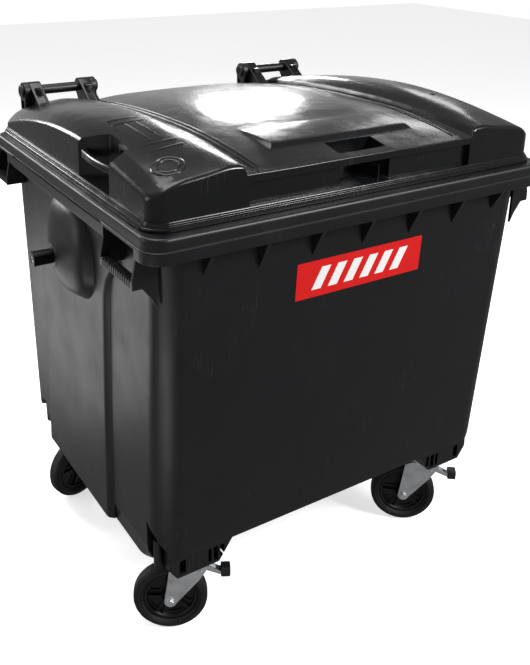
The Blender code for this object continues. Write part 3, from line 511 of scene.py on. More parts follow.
# side handles: two webs down from the rim and a ribbed grip bar across them
HANDLE_X, BAR_T, BAR_H = 0.622, 0.024, 0.021
HANDLE_Z0, WEB_T = RIM_Z0 - 0.070, 0.008
FRONT_HANDLE, REAR_HANDLE = (-0.460, -0.285), (0.385, 0.500)
RIB_PITCH, RIB_HALF = 0.0115, 0.0022
for side in (-1, 1):
    for y0, y1 in (FRONT_HANDLE, REAR_HANDLE):
        wall = TOP_X - 0.007
        for y in (y0, y1 - WEB_T):
            drop = 0.058 if y == FRONT_HANDLE[0] else 0.0
            outline = [
                (side * wall, RIM_TOP_Z - 0.012), (side * (RIM_HALF_X - 0.006), RIM_TOP_Z - 0.012),
                (side * (RIM_HALF_X - 0.001), RIM_Z0 - 0.002), (side * HANDLE_X, HANDLE_Z0 + BAR_H),
                (side * HANDLE_X, HANDLE_Z0), (side * (HANDLE_X - BAR_T), HANDLE_Z0),
                (side * (TOP_X + 0.008), HANDLE_Z0 - drop / 2), (side * wall, HANDLE_Z0 - drop),
            ]
            join(tub, prism("web", outline, "Y", y, y + WEB_T, 0.0014))
        cut(tub, block("window", mirrored(side, RIM_HALF_X - 0.012, RIM_HALF_X + 0.010),
                       (y0 + WEB_T, y1 - WEB_T), (RIM_Z0 - 0.010, RIM_Z0 + 0.024), 0.003))
        grip = block("grip", mirrored(side, HANDLE_X - BAR_T, HANDLE_X), (y0 + 0.002, y1 - 0.002),
                     (HANDLE_Z0, HANDLE_Z0 + BAR_H), 0.004, 3)
        for i in range(int((y1 - y0 - 0.024) / RIB_PITCH)):
            y = y0 + 0.017 + i * RIB_PITCH
            join(grip, block("rib", mirrored(side, HANDLE_X - BAR_T + 0.004, HANDLE_X + 0.0012),
                             (y - RIB_HALF, y + RIB_HALF),
                             (HANDLE_Z0 + 0.003, HANDLE_Z0 + BAR_H + 0.0014), 0.0012))
        join(tub, grip)

# castor housings under the sloping ends of the floor, open between their ribs
CASTOR_X = 0.4193
HOUSING_IN, HOUSING_OUT = CASTOR_X - 0.097, CASTOR_X + 0.105
HOUSING_FRONT_Y, HOUSING_REAR_Y = -0.4233, 0.4308
HOUSING_SLOTS = (  # place, width, height over the floor
    (0.036, 0.012, 0.018), (0.054, 0.014, 0.010), (0.074, 0.010, 0.012), (0.150, 0.018, 0.012),
)
for side in (-1, 1):
    for way, face in ((-1, HOUSING_FRONT_Y), (1, HOUSING_REAR_Y)):
        outline = [
            (side * HOUSING_IN, SILL_Z + 0.004), (side * (HOUSING_IN + 0.050), FLOOR_Z),
            (side * (HOUSING_OUT - 0.028), FLOOR_Z), (side * HOUSING_OUT, FLOOR_Z + 0.040),
            (side * (HOUSING_OUT - 0.004), SILL_Z + 0.012),
        ]
        housing = prism("housing", outline, "Y", *sorted((face, way * (FLOOR_FRONT - 0.060))), 0.003)
        depth = sorted((face - way * 0.024, face + way * 0.01))
        for x, width, low in HOUSING_SLOTS:
            x += HOUSING_IN
            cut(housing, block("slot", mirrored(side, x, x + width), depth,
                               (FLOOR_Z + low, SILL_Z - 0.018), 0.002))
        join(tub, housing)

# a dark slot beside each front corner, and a notch with a round rib over each castor
POCKET_DEPTH = 0.030
POCKET_FRONT = ((-0.364, 0.403), (-0.366, 0.262), (-0.448, 0.262), (-0.440, 0.318), (-0.398, 0.380))
POCKET_REAR = ((0.356, 0.356), (0.352, 0.262), (0.436, 0.262), (0.430, 0.300), (0.392, 0.350))
for side in (-1, 1):
    cut(tub, block("slot", mirrored(side, side_wall(1.12) - 0.004, TOP_X + 0.03), (-0.448, -0.436),
                   (1.107, 1.135), 0.001))
    for outline in (POCKET_FRONT, POCKET_REAR):
        cut(tub, prism("pocket", outline, "X", *mirrored(side, SILL_X - POCKET_DEPTH, SILL_X + 0.03), 0.003))
    for y, top in ((-0.384, 0.352), (0.384, 0.330)):
        join(tub, rod("rib", 0.013, (side * (SILL_X - 0.022), y, 0.266), (side * (SILL_X - 0.018), y, top),
                      24, 0.011, 0.005))

# hollow inside, the drain hole and the bores for the trunnions
inner_z = (FLOOR_Z + TUB_WALL, FLOOR_Z + TUB_WALL + 0.015, SILL_Z + 0.002, RIM_TOP_Z + 0.020)
inner_levels = (TUB_LEVELS[0], TUB_LEVELS[1], (0, SILL_X, SILL_FRONT, SILL_REAR), TUB_LEVELS[-1])
hollow = sweep("inside", [
    rounded_ring(hx - TUB_WALL, front - TUB_WALL, rear - TUB_WALL, WALL_CORNER_R - TUB_WALL, z)
    for z, (_, hx, front, rear) in zip(inner_z, inner_levels)
])
for side in (-1, 1):
    for y in ((-0.460, -0.356), (0.346, 0.460)):
        cut(hollow, block("keep", mirrored(side, SILL_X - POCKET_DEPTH - TUB_WALL, SILL_X + 0.02), y,
                          (FLOOR_Z, 0.412 if y[0] < 0 else 0.366), 0.004))
cut(tub, hollow)
seal_low, seal_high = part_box("drain_seal")
DRAIN_Y, DRAIN_R = (seal_low.y + seal_high.y) / 2 - MID_Y, (seal_high.x - seal_low.x) / 2
DRAIN_BORE = 0.0215
cut(tub, rod("drain", DRAIN_BORE, (0, DRAIN_Y, FLOOR_Z - 0.02), (0, DRAIN_Y, FLOOR_Z + 0.02), 40))
for side in (-1, 1):
    cut(tub, rod("seat", TRUNNION_R + FIT, (side * (BOSS_FACE_X - BOSS_BORE), TRUNNION_Y, TRUNNION_Z),
                 (side * (BOSS_FACE_X + 0.01), TRUNNION_Y, TRUNNION_Z), 48))
    cut(tub, rod("thread", 0.0063, (side * (TRUNNION_END_X - 0.071), TRUNNION_Y, TRUNNION_Z),
                 (side * BOSS_FACE_X, TRUNNION_Y, TRUNNION_Z), 24))


def plastic(name, light, dark, roughness, swing, grain, waves, marks):
    """Moulded plastic: cloudy pigment, patchy gloss, a fine skin and slow waves, with a few dull scuffs."""
    material, tree, shader, spot = new_material(name)
    shader.inputs["IOR"].default_value = 1.50
    shader.inputs["Specular IOR Level"].default_value = 0.40
    tones = paint(tree, shader, noise(tree, spot, 5.0, 4.0), dark, light, 0.30, 0.70)
    # scuffs: short streaks 0.6 mm wide and 30 mm long that the yard leaves on the skin, in patches
    stretch = add_node(tree, "ShaderNodeMapping", {"Scale": (1.0, 1.0, 0.035), "Rotation": (0.5, 0.35, 0.9)},
                       {"Vector": spot})
    streak = noise(tree, stretch.outputs["Vector"], 420.0, 1.0)
    only = noise(tree, spot, 9.0)
    scuff = add_node(tree, "ShaderNodeMath", {"operation": "MULTIPLY"}, {
        0: remap(tree, only, 0.0, 1.0, 0.52, 0.72), 1: remap(tree, streak, 0.0, marks, 0.63, 0.70)})
    worn = add_node(tree, "ShaderNodeMix", {"data_type": "RGBA"}, {0: scuff.outputs["Value"], 6: tones})
    worn.inputs[7].default_value = colour("#54565A")
    tree.links.new(worn.outputs[2], shader.inputs["Base Color"])
    dulled = add_node(tree, "ShaderNodeMath", {"operation": "ADD"}, {
        0: remap(tree, only, roughness, roughness + swing), 1: scuff.outputs["Value"]})
    tree.links.new(dulled.outputs["Value"], shader.inputs["Roughness"])
    # slow waves about 60 mm long from uneven cooling, under a skin grain of about 0.8 mm
    slow = relief(tree, shader, noise(tree, spot, 16.0, 1.0), waves)
    relief(tree, shader, noise(tree, spot, 1200.0), grain, slow)
    return material


# Satin polyethylene straight from a lightly etched mould: charcoal, with broad soft highlights.
SATIN_POLYETHYLENE = plastic(
    "satin moulded polyethylene", "#0B0C0F", "#08090B", 0.34, 0.16, 0.00003, 0.0006, 0.2)
settle(tub, "tub", "body_plastic", SATIN_POLYETHYLENE, "body_tub")


# ---------------------------------------------------------------- lid
# The real lid is one glossy polyethylene moulding, about 4.5 mm thick and ribbed by its own shape: two
# raised pods, a crowned middle, a front lip with a grip behind it, side grips and four hinge arms.

LID_Z0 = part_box("lid")[0].z
LID_WALL = 0.0045
LID_FRONT_Y, LID_REAR_Y = -0.481, 0.503
FLANGE_X, FLANGE_FRONT, FLANGE_REAR, FLANGE_H, FLANGE_R = 0.596, 0.492, 0.512, 0.021, 0.052
POD_OUT_X, POD_IN_X, CREST_X, CHANNEL_X = 0.584, 0.352, 0.450, 0.328
# lines of the lid: height over the rim at the front, peak and rear, place of the peak, power of the rise
CENTRE_LINE = (0.0955, 0.1375, 0.0825, -0.104, 2.0)
CHANNEL_LINE = (0.0940, 0.1205, 0.0660, -0.140, 2.0)
POD_IN_LINE = (0.1170, 0.1325, 0.0780, -0.150, 2.0)
CREST_LINE = (0.1115, 0.1535, 0.0795, -0.110, 2.0)
POD_OUT_LINE = (0.0740, 0.1185, 0.0335, -0.050, 1.5)
EDGE_ROUND, LIP_ROUND, PLAN_ROUND = 0.010, 0.0025, 0.040
PLATE_X, PLATE_Y, PLATE_RISE, PLATE_RUN = 0.224, (-0.382, -0.240), 0.009, 0.013


def lid_line(y, front, peak, rear, peak_y, power):
    if y < peak_y:
        return peak - (peak - front) * (max(0.0, peak_y - y) / (peak_y - LID_FRONT_Y)) ** power
    return peak - (peak - rear) * ((y - peak_y) / (LID_REAR_Y - peak_y)) ** 2


def through(x, points):
    """A smooth curve through points of rising x."""
    if x >= points[-1][0]:
        return points[-1][1]
    for i in range(len(points) - 1):
        (x0, z0), (x1, z1) = points[i], points[i + 1]
        if x <= x1:
            before, after = points[max(i - 1, 0)], points[min(i + 2, len(points) - 1)]
            m0 = (z1 - before[1]) / (x1 - before[0])
            m1 = (after[1] - z0) / (after[0] - x0)
            t, h = (x - x0) / (x1 - x0), x1 - x0
            return ((2 * t ** 3 - 3 * t * t + 1) * z0 + (t ** 3 - 2 * t * t + t) * h * m0
                    + (3 * t * t - 2 * t ** 3) * z1 + (t ** 3 - t * t) * h * m1)


def blend_step(value, low, high):
    t = min(1.0, max(0.0, (value - low) / (high - low)))
    return t * t * (3 - 2 * t)


def lid_top(x, y):
    """Height of the lid's outer face, before its edges are rounded."""
    x = abs(x)
    centre, channel, pod_in, crest, pod_out = (
        lid_line(y, *line) for line in (CENTRE_LINE, CHANNEL_LINE, POD_IN_LINE, CREST_LINE, POD_OUT_LINE))
    lip = 1 - blend_step(y, LID_FRONT_Y + 0.01, LID_FRONT_Y + 0.14)
    middle = through(min(x, CHANNEL_X), [
        (0.0, centre), (CHANNEL_X * 0.33, centre - 0.001 * (1 - lip)),
        (CHANNEL_X * 0.67, (channel + centre) / 2 + 0.004 * (1 - lip)), (CHANNEL_X, channel + 0.0015 * lip)])
    pod = through(max(x, POD_IN_X), [
        (POD_IN_X, pod_in - 0.003), (POD_IN_X + 0.010, pod_in + 0.001),
        (POD_IN_X + 0.040, (pod_in + crest) / 2 + 0.006), (CREST_X, crest),
        (POD_OUT_X - 0.050, (pod_out + crest) / 2 + 0.006), (POD_OUT_X - 0.008, pod_out + 0.001),
        (POD_OUT_X, pod_out - 0.004)])
    wall = min(1.0, max(0.0, (x - POD_IN_X + 0.003) / 0.005))
    height = middle * (1 - wall) + pod * wall
    # the flat plate in the middle ends in a small step at its front and sides
    slope = (PLATE_Y[1] - y) / (PLATE_Y[1] - PLATE_Y[0])
    flank = min((PLATE_X - x) / PLATE_RUN, (y - PLATE_Y[0]) / PLATE_RUN)
    rise = PLATE_RISE * min(max(slope, 0.0) ** 0.8, max(flank, 0.0))
    return RIM_TOP_Z + height + rise


def spread(stops, lines):
    """Places for the lines of a grid: between each two stops the given count of even steps."""
    places = [stops[0]]
    for low, high, count in zip(stops, stops[1:], lines):
        places += [low + (high - low) * (i + 1) / count for i in range(count)]
    return places


def crown(name, wall, base_z, edge_round):
    """The lid's outside, or its inside when drawn in by the wall: a grid raised to shape over a flat base."""
    reach_x, front, rear = POD_OUT_X - wall, LID_FRONT_Y + wall, LID_REAR_Y - wall
    half = spread([0.0, PLATE_X - PLATE_RUN, PLATE_X, CHANNEL_X - 0.004, CHANNEL_X + 0.004, POD_IN_X - 0.003,
                   POD_IN_X + 0.002, POD_IN_X + 0.012, reach_x - PLAN_ROUND, reach_x - edge_round, reach_x],
                  (12, 4, 6, 3, 2, 3, 5, 12, 5, 7))
    columns = [-x for x in half[:0:-1]] + half
    rows = spread([front, front + LIP_ROUND, front + edge_round, front + PLAN_ROUND, PLATE_Y[0],
                   PLATE_Y[0] + PLATE_RUN, PLATE_Y[1], rear - PLAN_ROUND, rear - edge_round, rear],
                  (4, 5, 5, 8, 4, 12, 30, 5, 7))
    deselect()
    bpy.ops.mesh.primitive_grid_add(x_subdivisions=len(columns) - 1, y_subdivisions=len(rows) - 1, size=2.0)
    obj = bpy.context.object
    obj.name = name
    bpy.ops.object.mode_set(mode="EDIT")
    bpy.ops.mesh.select_all(action="SELECT")
    bpy.ops.mesh.extrude_region_move(TRANSFORM_OT_translate={"value": (0, 0, 1.0)})
    bpy.ops.object.mode_set(mode="OBJECT")
    for vert in obj.data.vertices:
        x = columns[round((vert.co.x + 1) / 2 * (len(columns) - 1))]
        y = rows[round((vert.co.y + 1) / 2 * (len(rows) - 1))]
        end_y = front if y < 0 else rear
        a = 1 - (reach_x - abs(x)) / PLAN_ROUND
        b = 1 - abs(end_y - y) / PLAN_ROUND
        if a > 0 and b > 0:
            turned_a, turned_b = a * math.sqrt(1 - b * b / 2), b * math.sqrt(1 - a * a / 2)
            x = math.copysign(reach_x - PLAN_ROUND + PLAN_ROUND * turned_a, x)
            y = end_y - math.copysign(PLAN_ROUND * (1 - turned_b), end_y)
            edge = PLAN_ROUND * (1 - math.hypot(turned_a, turned_b))
        else:
            edge = min(reach_x - abs(x), abs(end_y - y))
        if vert.co.z > 0.5:
            radius = LIP_ROUND if abs(x) < POD_IN_X and y < 0 else edge_round
            short = max(0.0, radius - edge)
            drop = radius - math.sqrt(radius ** 2 - short ** 2)
            vert.co.z = lid_top(x, y) - wall - drop
        else:
            vert.co.z = base_z
        vert.co.x, vert.co.y = x, y
    bpy.ops.object.mode_set(mode="EDIT")
    return face_outwards(obj)


lid = crown("lid_moulding", 0.0, LID_Z0 + 0.006, EDGE_ROUND)

# flange: a flat ledge round the foot of the pods, three fine steps, and a lower rib with a rolled edge
flange_rings = []
for height, inset in (
    (0.0, 0.0018), (0.0012, 0.0003), (0.0030, 0.0), (0.0072, 0.0), (0.0086, 0.0006), (0.0094, 0.0024),
    (0.0118, 0.0026), (0.0126, 0.0032), (0.0130, 0.0048), (0.0152, 0.0050), (0.0160, 0.0056), (0.0164, 0.0072),
    (0.0190, 0.0076), (0.0203, 0.0086), (FLANGE_H, 0.0108),
):
    flange_rings.append(rounded_ring(FLANGE_X - inset, FLANGE_FRONT - inset, FLANGE_REAR - inset,
                                     FLANGE_R - inset, LID_Z0 + height))
join(lid, sweep("flange", flange_rings))

# hinge arms: a channel with side ribs that slopes from the bar down to the lid, and a boss round the bar
ARM_GAP = BRACKET_T + 0.0005
ARM_BASE = [(HINGE_Y - 0.055, HINGE_Z - 0.080), (HINGE_Y - 0.030, HINGE_Z - 0.080)]
ARM_OUTLINE = (
    ARM_BASE + arc(HINGE_Y, HINGE_Z, HINGE_BOSS_R, -60, 118, 24)
    + [(HINGE_Y - 0.104, HINGE_Z - 0.038), (HINGE_Y - 0.104, HINGE_Z - 0.060)]
)
for side in (-1, 1):
    for low in (HINGE_IN + ARM_GAP, HINGE_OUT - ARM_GAP - ARM_T):
        ends = mirrored(side, low, low + ARM_T)
        arm = prism("arm", ARM_OUTLINE, "X", *ends, 0.0025)
        trough = prism("trough", [
            (HINGE_Y - 0.026, HINGE_Z + 0.030), (HINGE_Y - 0.110, HINGE_Z - 0.020),
            (HINGE_Y - 0.110, HINGE_Z - 0.046), (HINGE_Y - 0.034, HINGE_Z + 0.002),
        ], "X", ends[0] + 0.007, ends[1] - 0.007, 0.002)
        cut(arm, trough)
        join(arm, block("stop", (ends[0] + 0.009, ends[1] - 0.009), (HINGE_Y - 0.052, HINGE_Y - 0.030),
                        (HINGE_Z - 0.012, HINGE_Z + 0.013), 0.002))
        join(lid, cut(arm, hinge_bore(ends)))

# set-back face under the front lip, with the grip pocket behind the lip and a rib inside it
FRONT_CLEAR = LID_FRONT_Y - 0.040
FACE_Y, FACE_X = LID_FRONT_Y + 0.014, CHANNEL_X + 0.014
LIP_Z0, GRIP_Z, OPEN_Z = RIM_TOP_Z + 0.0775, RIM_TOP_Z + 0.022, RIM_TOP_Z + 0.20
GRIP_X, GRIP_BACK, GRIP_BAR = 0.077, LID_FRONT_Y + 0.088, LID_FRONT_Y + 0.026
cut(
    lid,
    block("recess", (-FACE_X, FACE_X), (FRONT_CLEAR, FACE_Y), (LID_Z0 + FLANGE_H, LIP_Z0), 0.0025),
    block("grip low", (-GRIP_X, GRIP_X), (FRONT_CLEAR, GRIP_BACK), (GRIP_Z, LIP_Z0), 0.003),
    block("grip top", (0.004 - GRIP_X, GRIP_X - 0.004), (GRIP_BAR, GRIP_BACK), (GRIP_Z + 0.01, OPEN_Z), 0.003),
)
join(lid, block("rib", (0.046, 0.050), (FACE_Y + 0.004, GRIP_BACK + 0.002),
                (GRIP_Z - 0.002, GRIP_Z + 0.036), 0.001))

# side grips: a pocket open at the top with a bowed bar across it
SIDE_GRIP_Y, SIDE_GRIP_DEPTH = (-0.270, -0.107), 0.052
BAR_Z, SIDE_BAR_W, SIDE_BAR_T, SIDE_BOW = RIM_TOP_Z + 0.072, 0.020, 0.014, 0.007
POCKET_X, SIDE_CLEAR = POD_OUT_X - SIDE_GRIP_DEPTH, POD_OUT_X + 0.040
BAR_STEPS = 18
# plan of a pocket: its rear wall slants outwards, and its inner corners are round
POCKET_PLAN = (
    [(SIDE_CLEAR, -0.266), (POD_OUT_X - 0.009, -0.266)] + arc(POCKET_X + 0.014, -0.261, 0.012, 285, 180, 6)
    + arc(POCKET_X + 0.016, -0.166, 0.016, 180, 120, 5)
    + [(POD_OUT_X - 0.010, -0.093), (SIDE_CLEAR, -0.060)]
)
# section of the bar, outwards and upwards from its middle, with a flute along its outer face
BAR_SECTION = (
    (0.0, -0.0075), (0.0, -0.0015), (-0.0015, -0.0010), (-0.0015, 0.0010), (0.0, 0.0015), (0.0, 0.0075),
    (-0.0025, 0.0100), (-SIDE_BAR_T + 0.002, 0.0100), (-SIDE_BAR_T, 0.0080), (-SIDE_BAR_T, -0.0080),
    (-SIDE_BAR_T + 0.002, -0.0100), (-0.0025, -0.0100),
)
for side in (-1, 1):
    cut(lid, prism("pocket", [(side * x, y) for x, y in POCKET_PLAN], "Z", GRIP_Z, OPEN_Z))
    rings = []
    for i in range(BAR_STEPS + 1):
        share = i / BAR_STEPS
        y = SIDE_GRIP_Y[0] - 0.004 + (SIDE_GRIP_Y[1] - SIDE_GRIP_Y[0] + 0.008) * share
        x = POD_OUT_X - 0.0015 + SIDE_BOW * math.sin(math.pi * share)
        rings.append([(side * (x + dx), y, BAR_Z + SIDE_BAR_W / 2 + dz) for dx, dz in BAR_SECTION])
    join(lid, sweep("bar", rings))

# raised marks on the left pod, a boss on the right one and two beads beside each pod
MARK_RISE, BEAD_HALF = 0.0022, 0.0014


def on_lid(obj):
    """Drapes a flat raised mark over the lid's face."""
    for vert in obj.data.vertices:
        vert.co.z += lid_top(vert.co.x, vert.co.y)
    return obj


for radius in (0.037, 0.025):
    deselect()
    bpy.ops.mesh.primitive_torus_add(location=(-0.505, -0.405, 0), major_segments=56, minor_segments=8,
                                     major_radius=radius, minor_radius=MARK_RISE)
    join(lid, on_lid(named("ring")))


def ridge(points, width):
    """A low raised line over the lid's face, along a path in plan."""
    rings, fine = [], []
    for (x0, y0), (x1, y1) in zip(points, points[1:]):
        steps = max(2, round(math.hypot(x1 - x0, y1 - y0) / 0.012))
        fine += [(x0 + (x1 - x0) * i / steps, y0 + (y1 - y0) * i / steps) for i in range(steps)]
    fine.append(points[-1])
    profile = ((-1.0, -0.002), (-0.8, MARK_RISE * 0.5), (-0.3, MARK_RISE),
               (0.3, MARK_RISE), (0.8, MARK_RISE * 0.5), (1.0, -0.002))
    for i, (x, y) in enumerate(fine):
        (xa, ya), (xb, yb) = fine[max(i - 1, 0)], fine[min(i + 1, len(fine) - 1)]
        length = math.hypot(xb - xa, yb - ya)
        nx, ny = -(yb - ya) / length * width, (xb - xa) / length * width
        top = lid_top(x, y)
        rings.append([(x + nx * share, y + ny * share, top + height) for share, height in profile])
    return sweep("ridge", rings)


for y in (-0.085, -0.120, -0.290, -0.325):
    join(lid, ridge([(-0.508, y), (-0.424, y)], BEAD_HALF))
for x in (-0.480, -0.452):
    join(lid, ridge([(x, -0.275), (x, -0.135)], BEAD_HALF))
join(lid, on_lid(block("small plate", (-0.556, -0.520), (-0.462, -0.444), (-0.003, 0.0014), 0.0006)))
join(lid, on_lid(rod("boss", 0.010, (0.460, -0.215, -0.004), (0.460, -0.215, 0.004), 32, 0.007, 0.001)))
for side in (-1, 1):
    for x in (CHANNEL_X - 0.012, CHANNEL_X - 0.026):
        join(lid, ridge([(side * x, -0.455), (side * x, 0.440)], BEAD_HALF))

# hollow underside, kept clear of the grip pockets
inside = crown("inside", LID_WALL, LID_Z0 - 0.02, EDGE_ROUND - 0.004)
keep = [
    block("keep", (-FACE_X - LID_WALL, FACE_X + LID_WALL), (FRONT_CLEAR, FACE_Y + LID_WALL),
          (RIM_Z0, LIP_Z0 + LID_WALL)),
    block("keep", (-GRIP_X - LID_WALL, GRIP_X + LID_WALL), (FRONT_CLEAR, GRIP_BACK + LID_WALL),
          (GRIP_Z - LID_WALL, OPEN_Z)),
]
for side in (-1, 1):
    keep.append(block("keep", mirrored(side, POCKET_X - LID_WALL, SIDE_CLEAR),
                      (SIDE_GRIP_Y[0] - LID_WALL, -0.060), (GRIP_Z - LID_WALL, OPEN_Z)))
cut(inside, *keep)
cut(lid, inside)

# Glossy polyethylene from a polished mould: near black, with wide mirror-like but wavy reflections.
GLOSSY_POLYETHYLENE = plastic(
    "glossy moulded polyethylene", "#0D0E10", "#090A0B", 0.18, 0.10, 0.00001, 0.0014, 0.25)
settle(lid, "lid", "lid_plastic", GLOSSY_POLYETHYLENE, "lid")


# ---------------------------------------------------------------- hinge bars and caps
# Each real hinge turns on a plain black bar pushed through two brackets and two arms. A moulded cap with
# a screw in it closes each end.

# Moulded polyamide: black, smooth and half glossy, so that its round shapes keep a soft line of light.
BLACK_POLYAMIDE = plastic("black moulded polyamide", "#0C0C0D", "#08090A", 0.30, 0.12, 0.00002, 0.0002, 0.25)


def lathe(name, profile, steps=48):
    """A ring spun about the local Y axis from a closed outline of (radius, offset) points."""
    deselect()
    bpy.ops.mesh.primitive_circle_add(vertices=len(profile), fill_type="NOTHING")
    obj = bpy.context.object
    obj.name = name
    for vert, (radius, offset) in zip(obj.data.vertices, profile):
        vert.co = (radius, offset, 0)
    bpy.ops.object.mode_set(mode="EDIT")
    bpy.ops.mesh.select_all(action="SELECT")
    bpy.ops.mesh.spin(steps=steps, angle=2 * math.pi, center=(0, 0, 0), axis=(0, 1, 0))
    bpy.ops.mesh.select_all(action="SELECT")
    bpy.ops.mesh.remove_doubles(threshold=0.00002)
    return face_outwards(obj)


def on_hinge(x):
    return (x, HINGE_Y, HINGE_Z)


SIDES = ((-1, "left"), (1, "right"))
for _, tag in SIDES:
    bar_low, bar_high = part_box("hinge_bar_" + tag)
    bar = rod("hinge_rod_" + tag, HINGE_BAR_R, on_hinge(bar_low.x), on_hinge(bar_high.x), 48, round_off=0.0012)
    settle(bar, "tub", "black_plastic", BLACK_POLYAMIDE, "hinge_bar_" + tag)
    for way, end in SIDES:
        node = "hinge_cap_" + tag + "_" + end
        low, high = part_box(node)
        face, tip = (high.x, low.x) if way < 0 else (low.x, high.x)
        radius = (high.z - low.z) / 2
        cap = rod("end_cap_" + tag + "_" + end, radius, on_hinge(face), on_hinge(tip),
                  48, radius - 0.003, 0.0014)
        cut(cap, rod("dish", 0.0095, on_hinge(tip + way * 0.001), on_hinge(tip - way * 0.002), 32))
        join(cap, rod("screw", 0.0062, on_hinge(tip - way * 0.0005), on_hinge(tip - way * 0.004),
                      24, round_off=0.0008))
        for dy, dz in ((0.0045, 0.0009), (0.0009, 0.0045)):
            cut(cap, block("cross", sorted((tip + way * 0.001, tip - way * 0.0016)),
                           (HINGE_Y - dy, HINGE_Y + dy), (HINGE_Z - dz, HINGE_Z + dz)))
        settle(cap, "tub", "black_plastic", BLACK_POLYAMIDE, node)


# ---------------------------------------------------------------- trunnions
# The side lift picks the container up by two round steel pins, pressed into the bosses and held by a
# socket bolt each. They are turned, blackened in oil, and bright where the arm has rubbed them.


def metal(name, light, dark, roughness, swing, grain, spangle, lay):
    """Bare or plated steel: cloudy tone, patchy gloss, and fine marks that run along one direction."""
    material, tree, shader, spot = new_material(name)
    shader.inputs["Metallic"].default_value = 1.0
    cloud = add_node(tree, "ShaderNodeTexVoronoi", {"Scale": spangle}, {"Vector": spot})
    drift = noise(tree, spot, 38.0, 5.0)
    both = add_node(tree, "ShaderNodeMath", {"operation": "MULTIPLY_ADD", 1: 0.35},
                    {0: cloud.outputs["Distance"], 2: drift})
    paint(tree, shader, both.outputs["Value"], dark, light, 0.35, 0.75)
    tree.links.new(remap(tree, drift, roughness, roughness + swing), shader.inputs["Roughness"])
    run = add_node(tree, "ShaderNodeMapping", {"Scale": lay}, {"Vector": spot})
    relief(tree, shader, noise(tree, run.outputs["Vector"], 1.0), grain)
    return material


# Turned steel, blackened: dark with a dull sheen, tool rings about 0.8 mm apart across its length.
BLACKENED_STEEL = metal(
    "blackened turned steel", "#242426", "#101011", 0.30, 0.20, 0.00006, 300.0, (1250, 60, 60))
# Zinc-plated pressed steel: pale blue-grey, half bright, with a faint 2.5 mm mottle.
ZINC_PLATE = metal("zinc-plated steel", "#DCDEE1", "#B4B7BB", 0.28, 0.22, 0.00005, 400.0, (300, 300, 900))

BOLT_HOLE_R = 0.0063


def on_axis(x):
    return (x, TRUNNION_Y, TRUNNION_Z)


for side, tag in SIDES:
    low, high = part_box("trunnion_" + tag)
    root, end = (high.x, low.x) if side < 0 else (low.x, high.x)
    bolt_low, bolt_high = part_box("trunnion_bolt_" + tag)
    head_face = bolt_low.x if side < 0 else bolt_high.x
    tip = bolt_high.x if side < 0 else bolt_low.x
    sink = end - side * 0.009
    pin = rod("lift_pin_" + tag, TRUNNION_R, on_axis(root), on_axis(end), 56, round_off=0.0022)
    cut(pin, rod("counterbore", 0.0098, on_axis(end + side * 0.01), on_axis(sink), 40),
        rod("through", BOLT_HOLE_R, on_axis(end), on_axis(root - side * 0.01), 32))
    settle(pin, "tub", "blackened_steel", BLACKENED_STEEL, "trunnion_" + tag)
    bolt = rod("lift_pin_bolt_" + tag, 0.0095, on_axis(head_face), on_axis(head_face - side * 0.007),
               40, round_off=0.0008)
    join(bolt, rod("shank", 0.006, on_axis(head_face - side * 0.004), on_axis(tip), 24, round_off=0.001))
    cut(bolt, rod("socket", 0.0045, on_axis(head_face + side * 0.01), on_axis(head_face - side * 0.004), 6))
    settle(bolt, "tub", "galvanised_steel", ZINC_PLATE, "trunnion_bolt_" + tag)


# ---------------------------------------------------------------- front label
# The real label is a printed vinyl film stuck flat on the front wall: solid red with a white print, here
# a plain row of slanted bars.

label_low, label_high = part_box("front_label")
LABEL_W, LABEL_X = label_high.x - label_low.x, (label_high.x + label_low.x) / 2
FILM_OFFSET, FILM_T = 0.0004, 0.0005
LABEL_CORNER = 0.002


def front_wall(z):
    return -SILL_FRONT - (TOP_FRONT - SILL_FRONT) * wall_share(z)


def film(name, outline, offset, thickness):
    """A thin sheet on the front wall from an outline in x and z."""
    return sweep(name, [[(x, front_wall(z) - depth, z) for x, z in outline]
                        for depth in (offset, offset + thickness)])


low_z, high_z = label_low.z, label_high.z
half_w = LABEL_W / 2
corners = []
for x, z, start in ((half_w, high_z, 0), (-half_w, high_z, 90), (-half_w, low_z, 180), (half_w, low_z, 270)):
    cx, cz = x - math.copysign(LABEL_CORNER, x), z + (LABEL_CORNER if z == low_z else -LABEL_CORNER)
    corners += [(LABEL_X + a, b) for a, b in arc(cx, cz, LABEL_CORNER, start, start + 90, 4)]
label = film("front_sticker", corners, FILM_OFFSET, FILM_T)


def vinyl(name, hex_light, hex_dark):
    """Printed vinyl film: even ink, a soft gloss, a slight orange peel."""
    material, tree, shader, spot = new_material(name)
    ink = noise(tree, spot, 22.0, 3.0)
    paint(tree, shader, ink, hex_dark, hex_light)
    tree.links.new(remap(tree, ink, 0.28, 0.42), shader.inputs["Roughness"])
    relief(tree, shader, noise(tree, spot, 500.0), 0.00003)
    return material


# Red vinyl: a flat signal red with little sheen. White vinyl: the print, a shade off pure white.
RED_VINYL = vinyl("red printed vinyl", "#DC100F", "#D00D0C")
WHITE_VINYL = vinyl("white printed vinyl", "#F6F6F4", "#EEEEEC")
BARS, BAR_PITCH, BAR_WIDTH, BAR_LEAN, BAR_HALF_H = 6, 0.050, 0.028, 0.014, 0.029
middle_z = (low_z + high_z) / 2
prints = []
for i in range(BARS):
    x = LABEL_X + (i - (BARS - 1) / 2) * BAR_PITCH
    half = BAR_WIDTH / 2
    prints.append(film("print", [
        (x - half - BAR_LEAN, middle_z - BAR_HALF_H), (x + half - BAR_LEAN, middle_z - BAR_HALF_H),
        (x + half + BAR_LEAN, middle_z + BAR_HALF_H), (x - half + BAR_LEAN, middle_z + BAR_HALF_H),
    ], FILM_OFFSET + FILM_T - 0.0002, 0.0003))
label.data.materials.append(RED_VINYL)
for bar in prints:
    bar.data.materials.append(WHITE_VINYL)
pick(label)
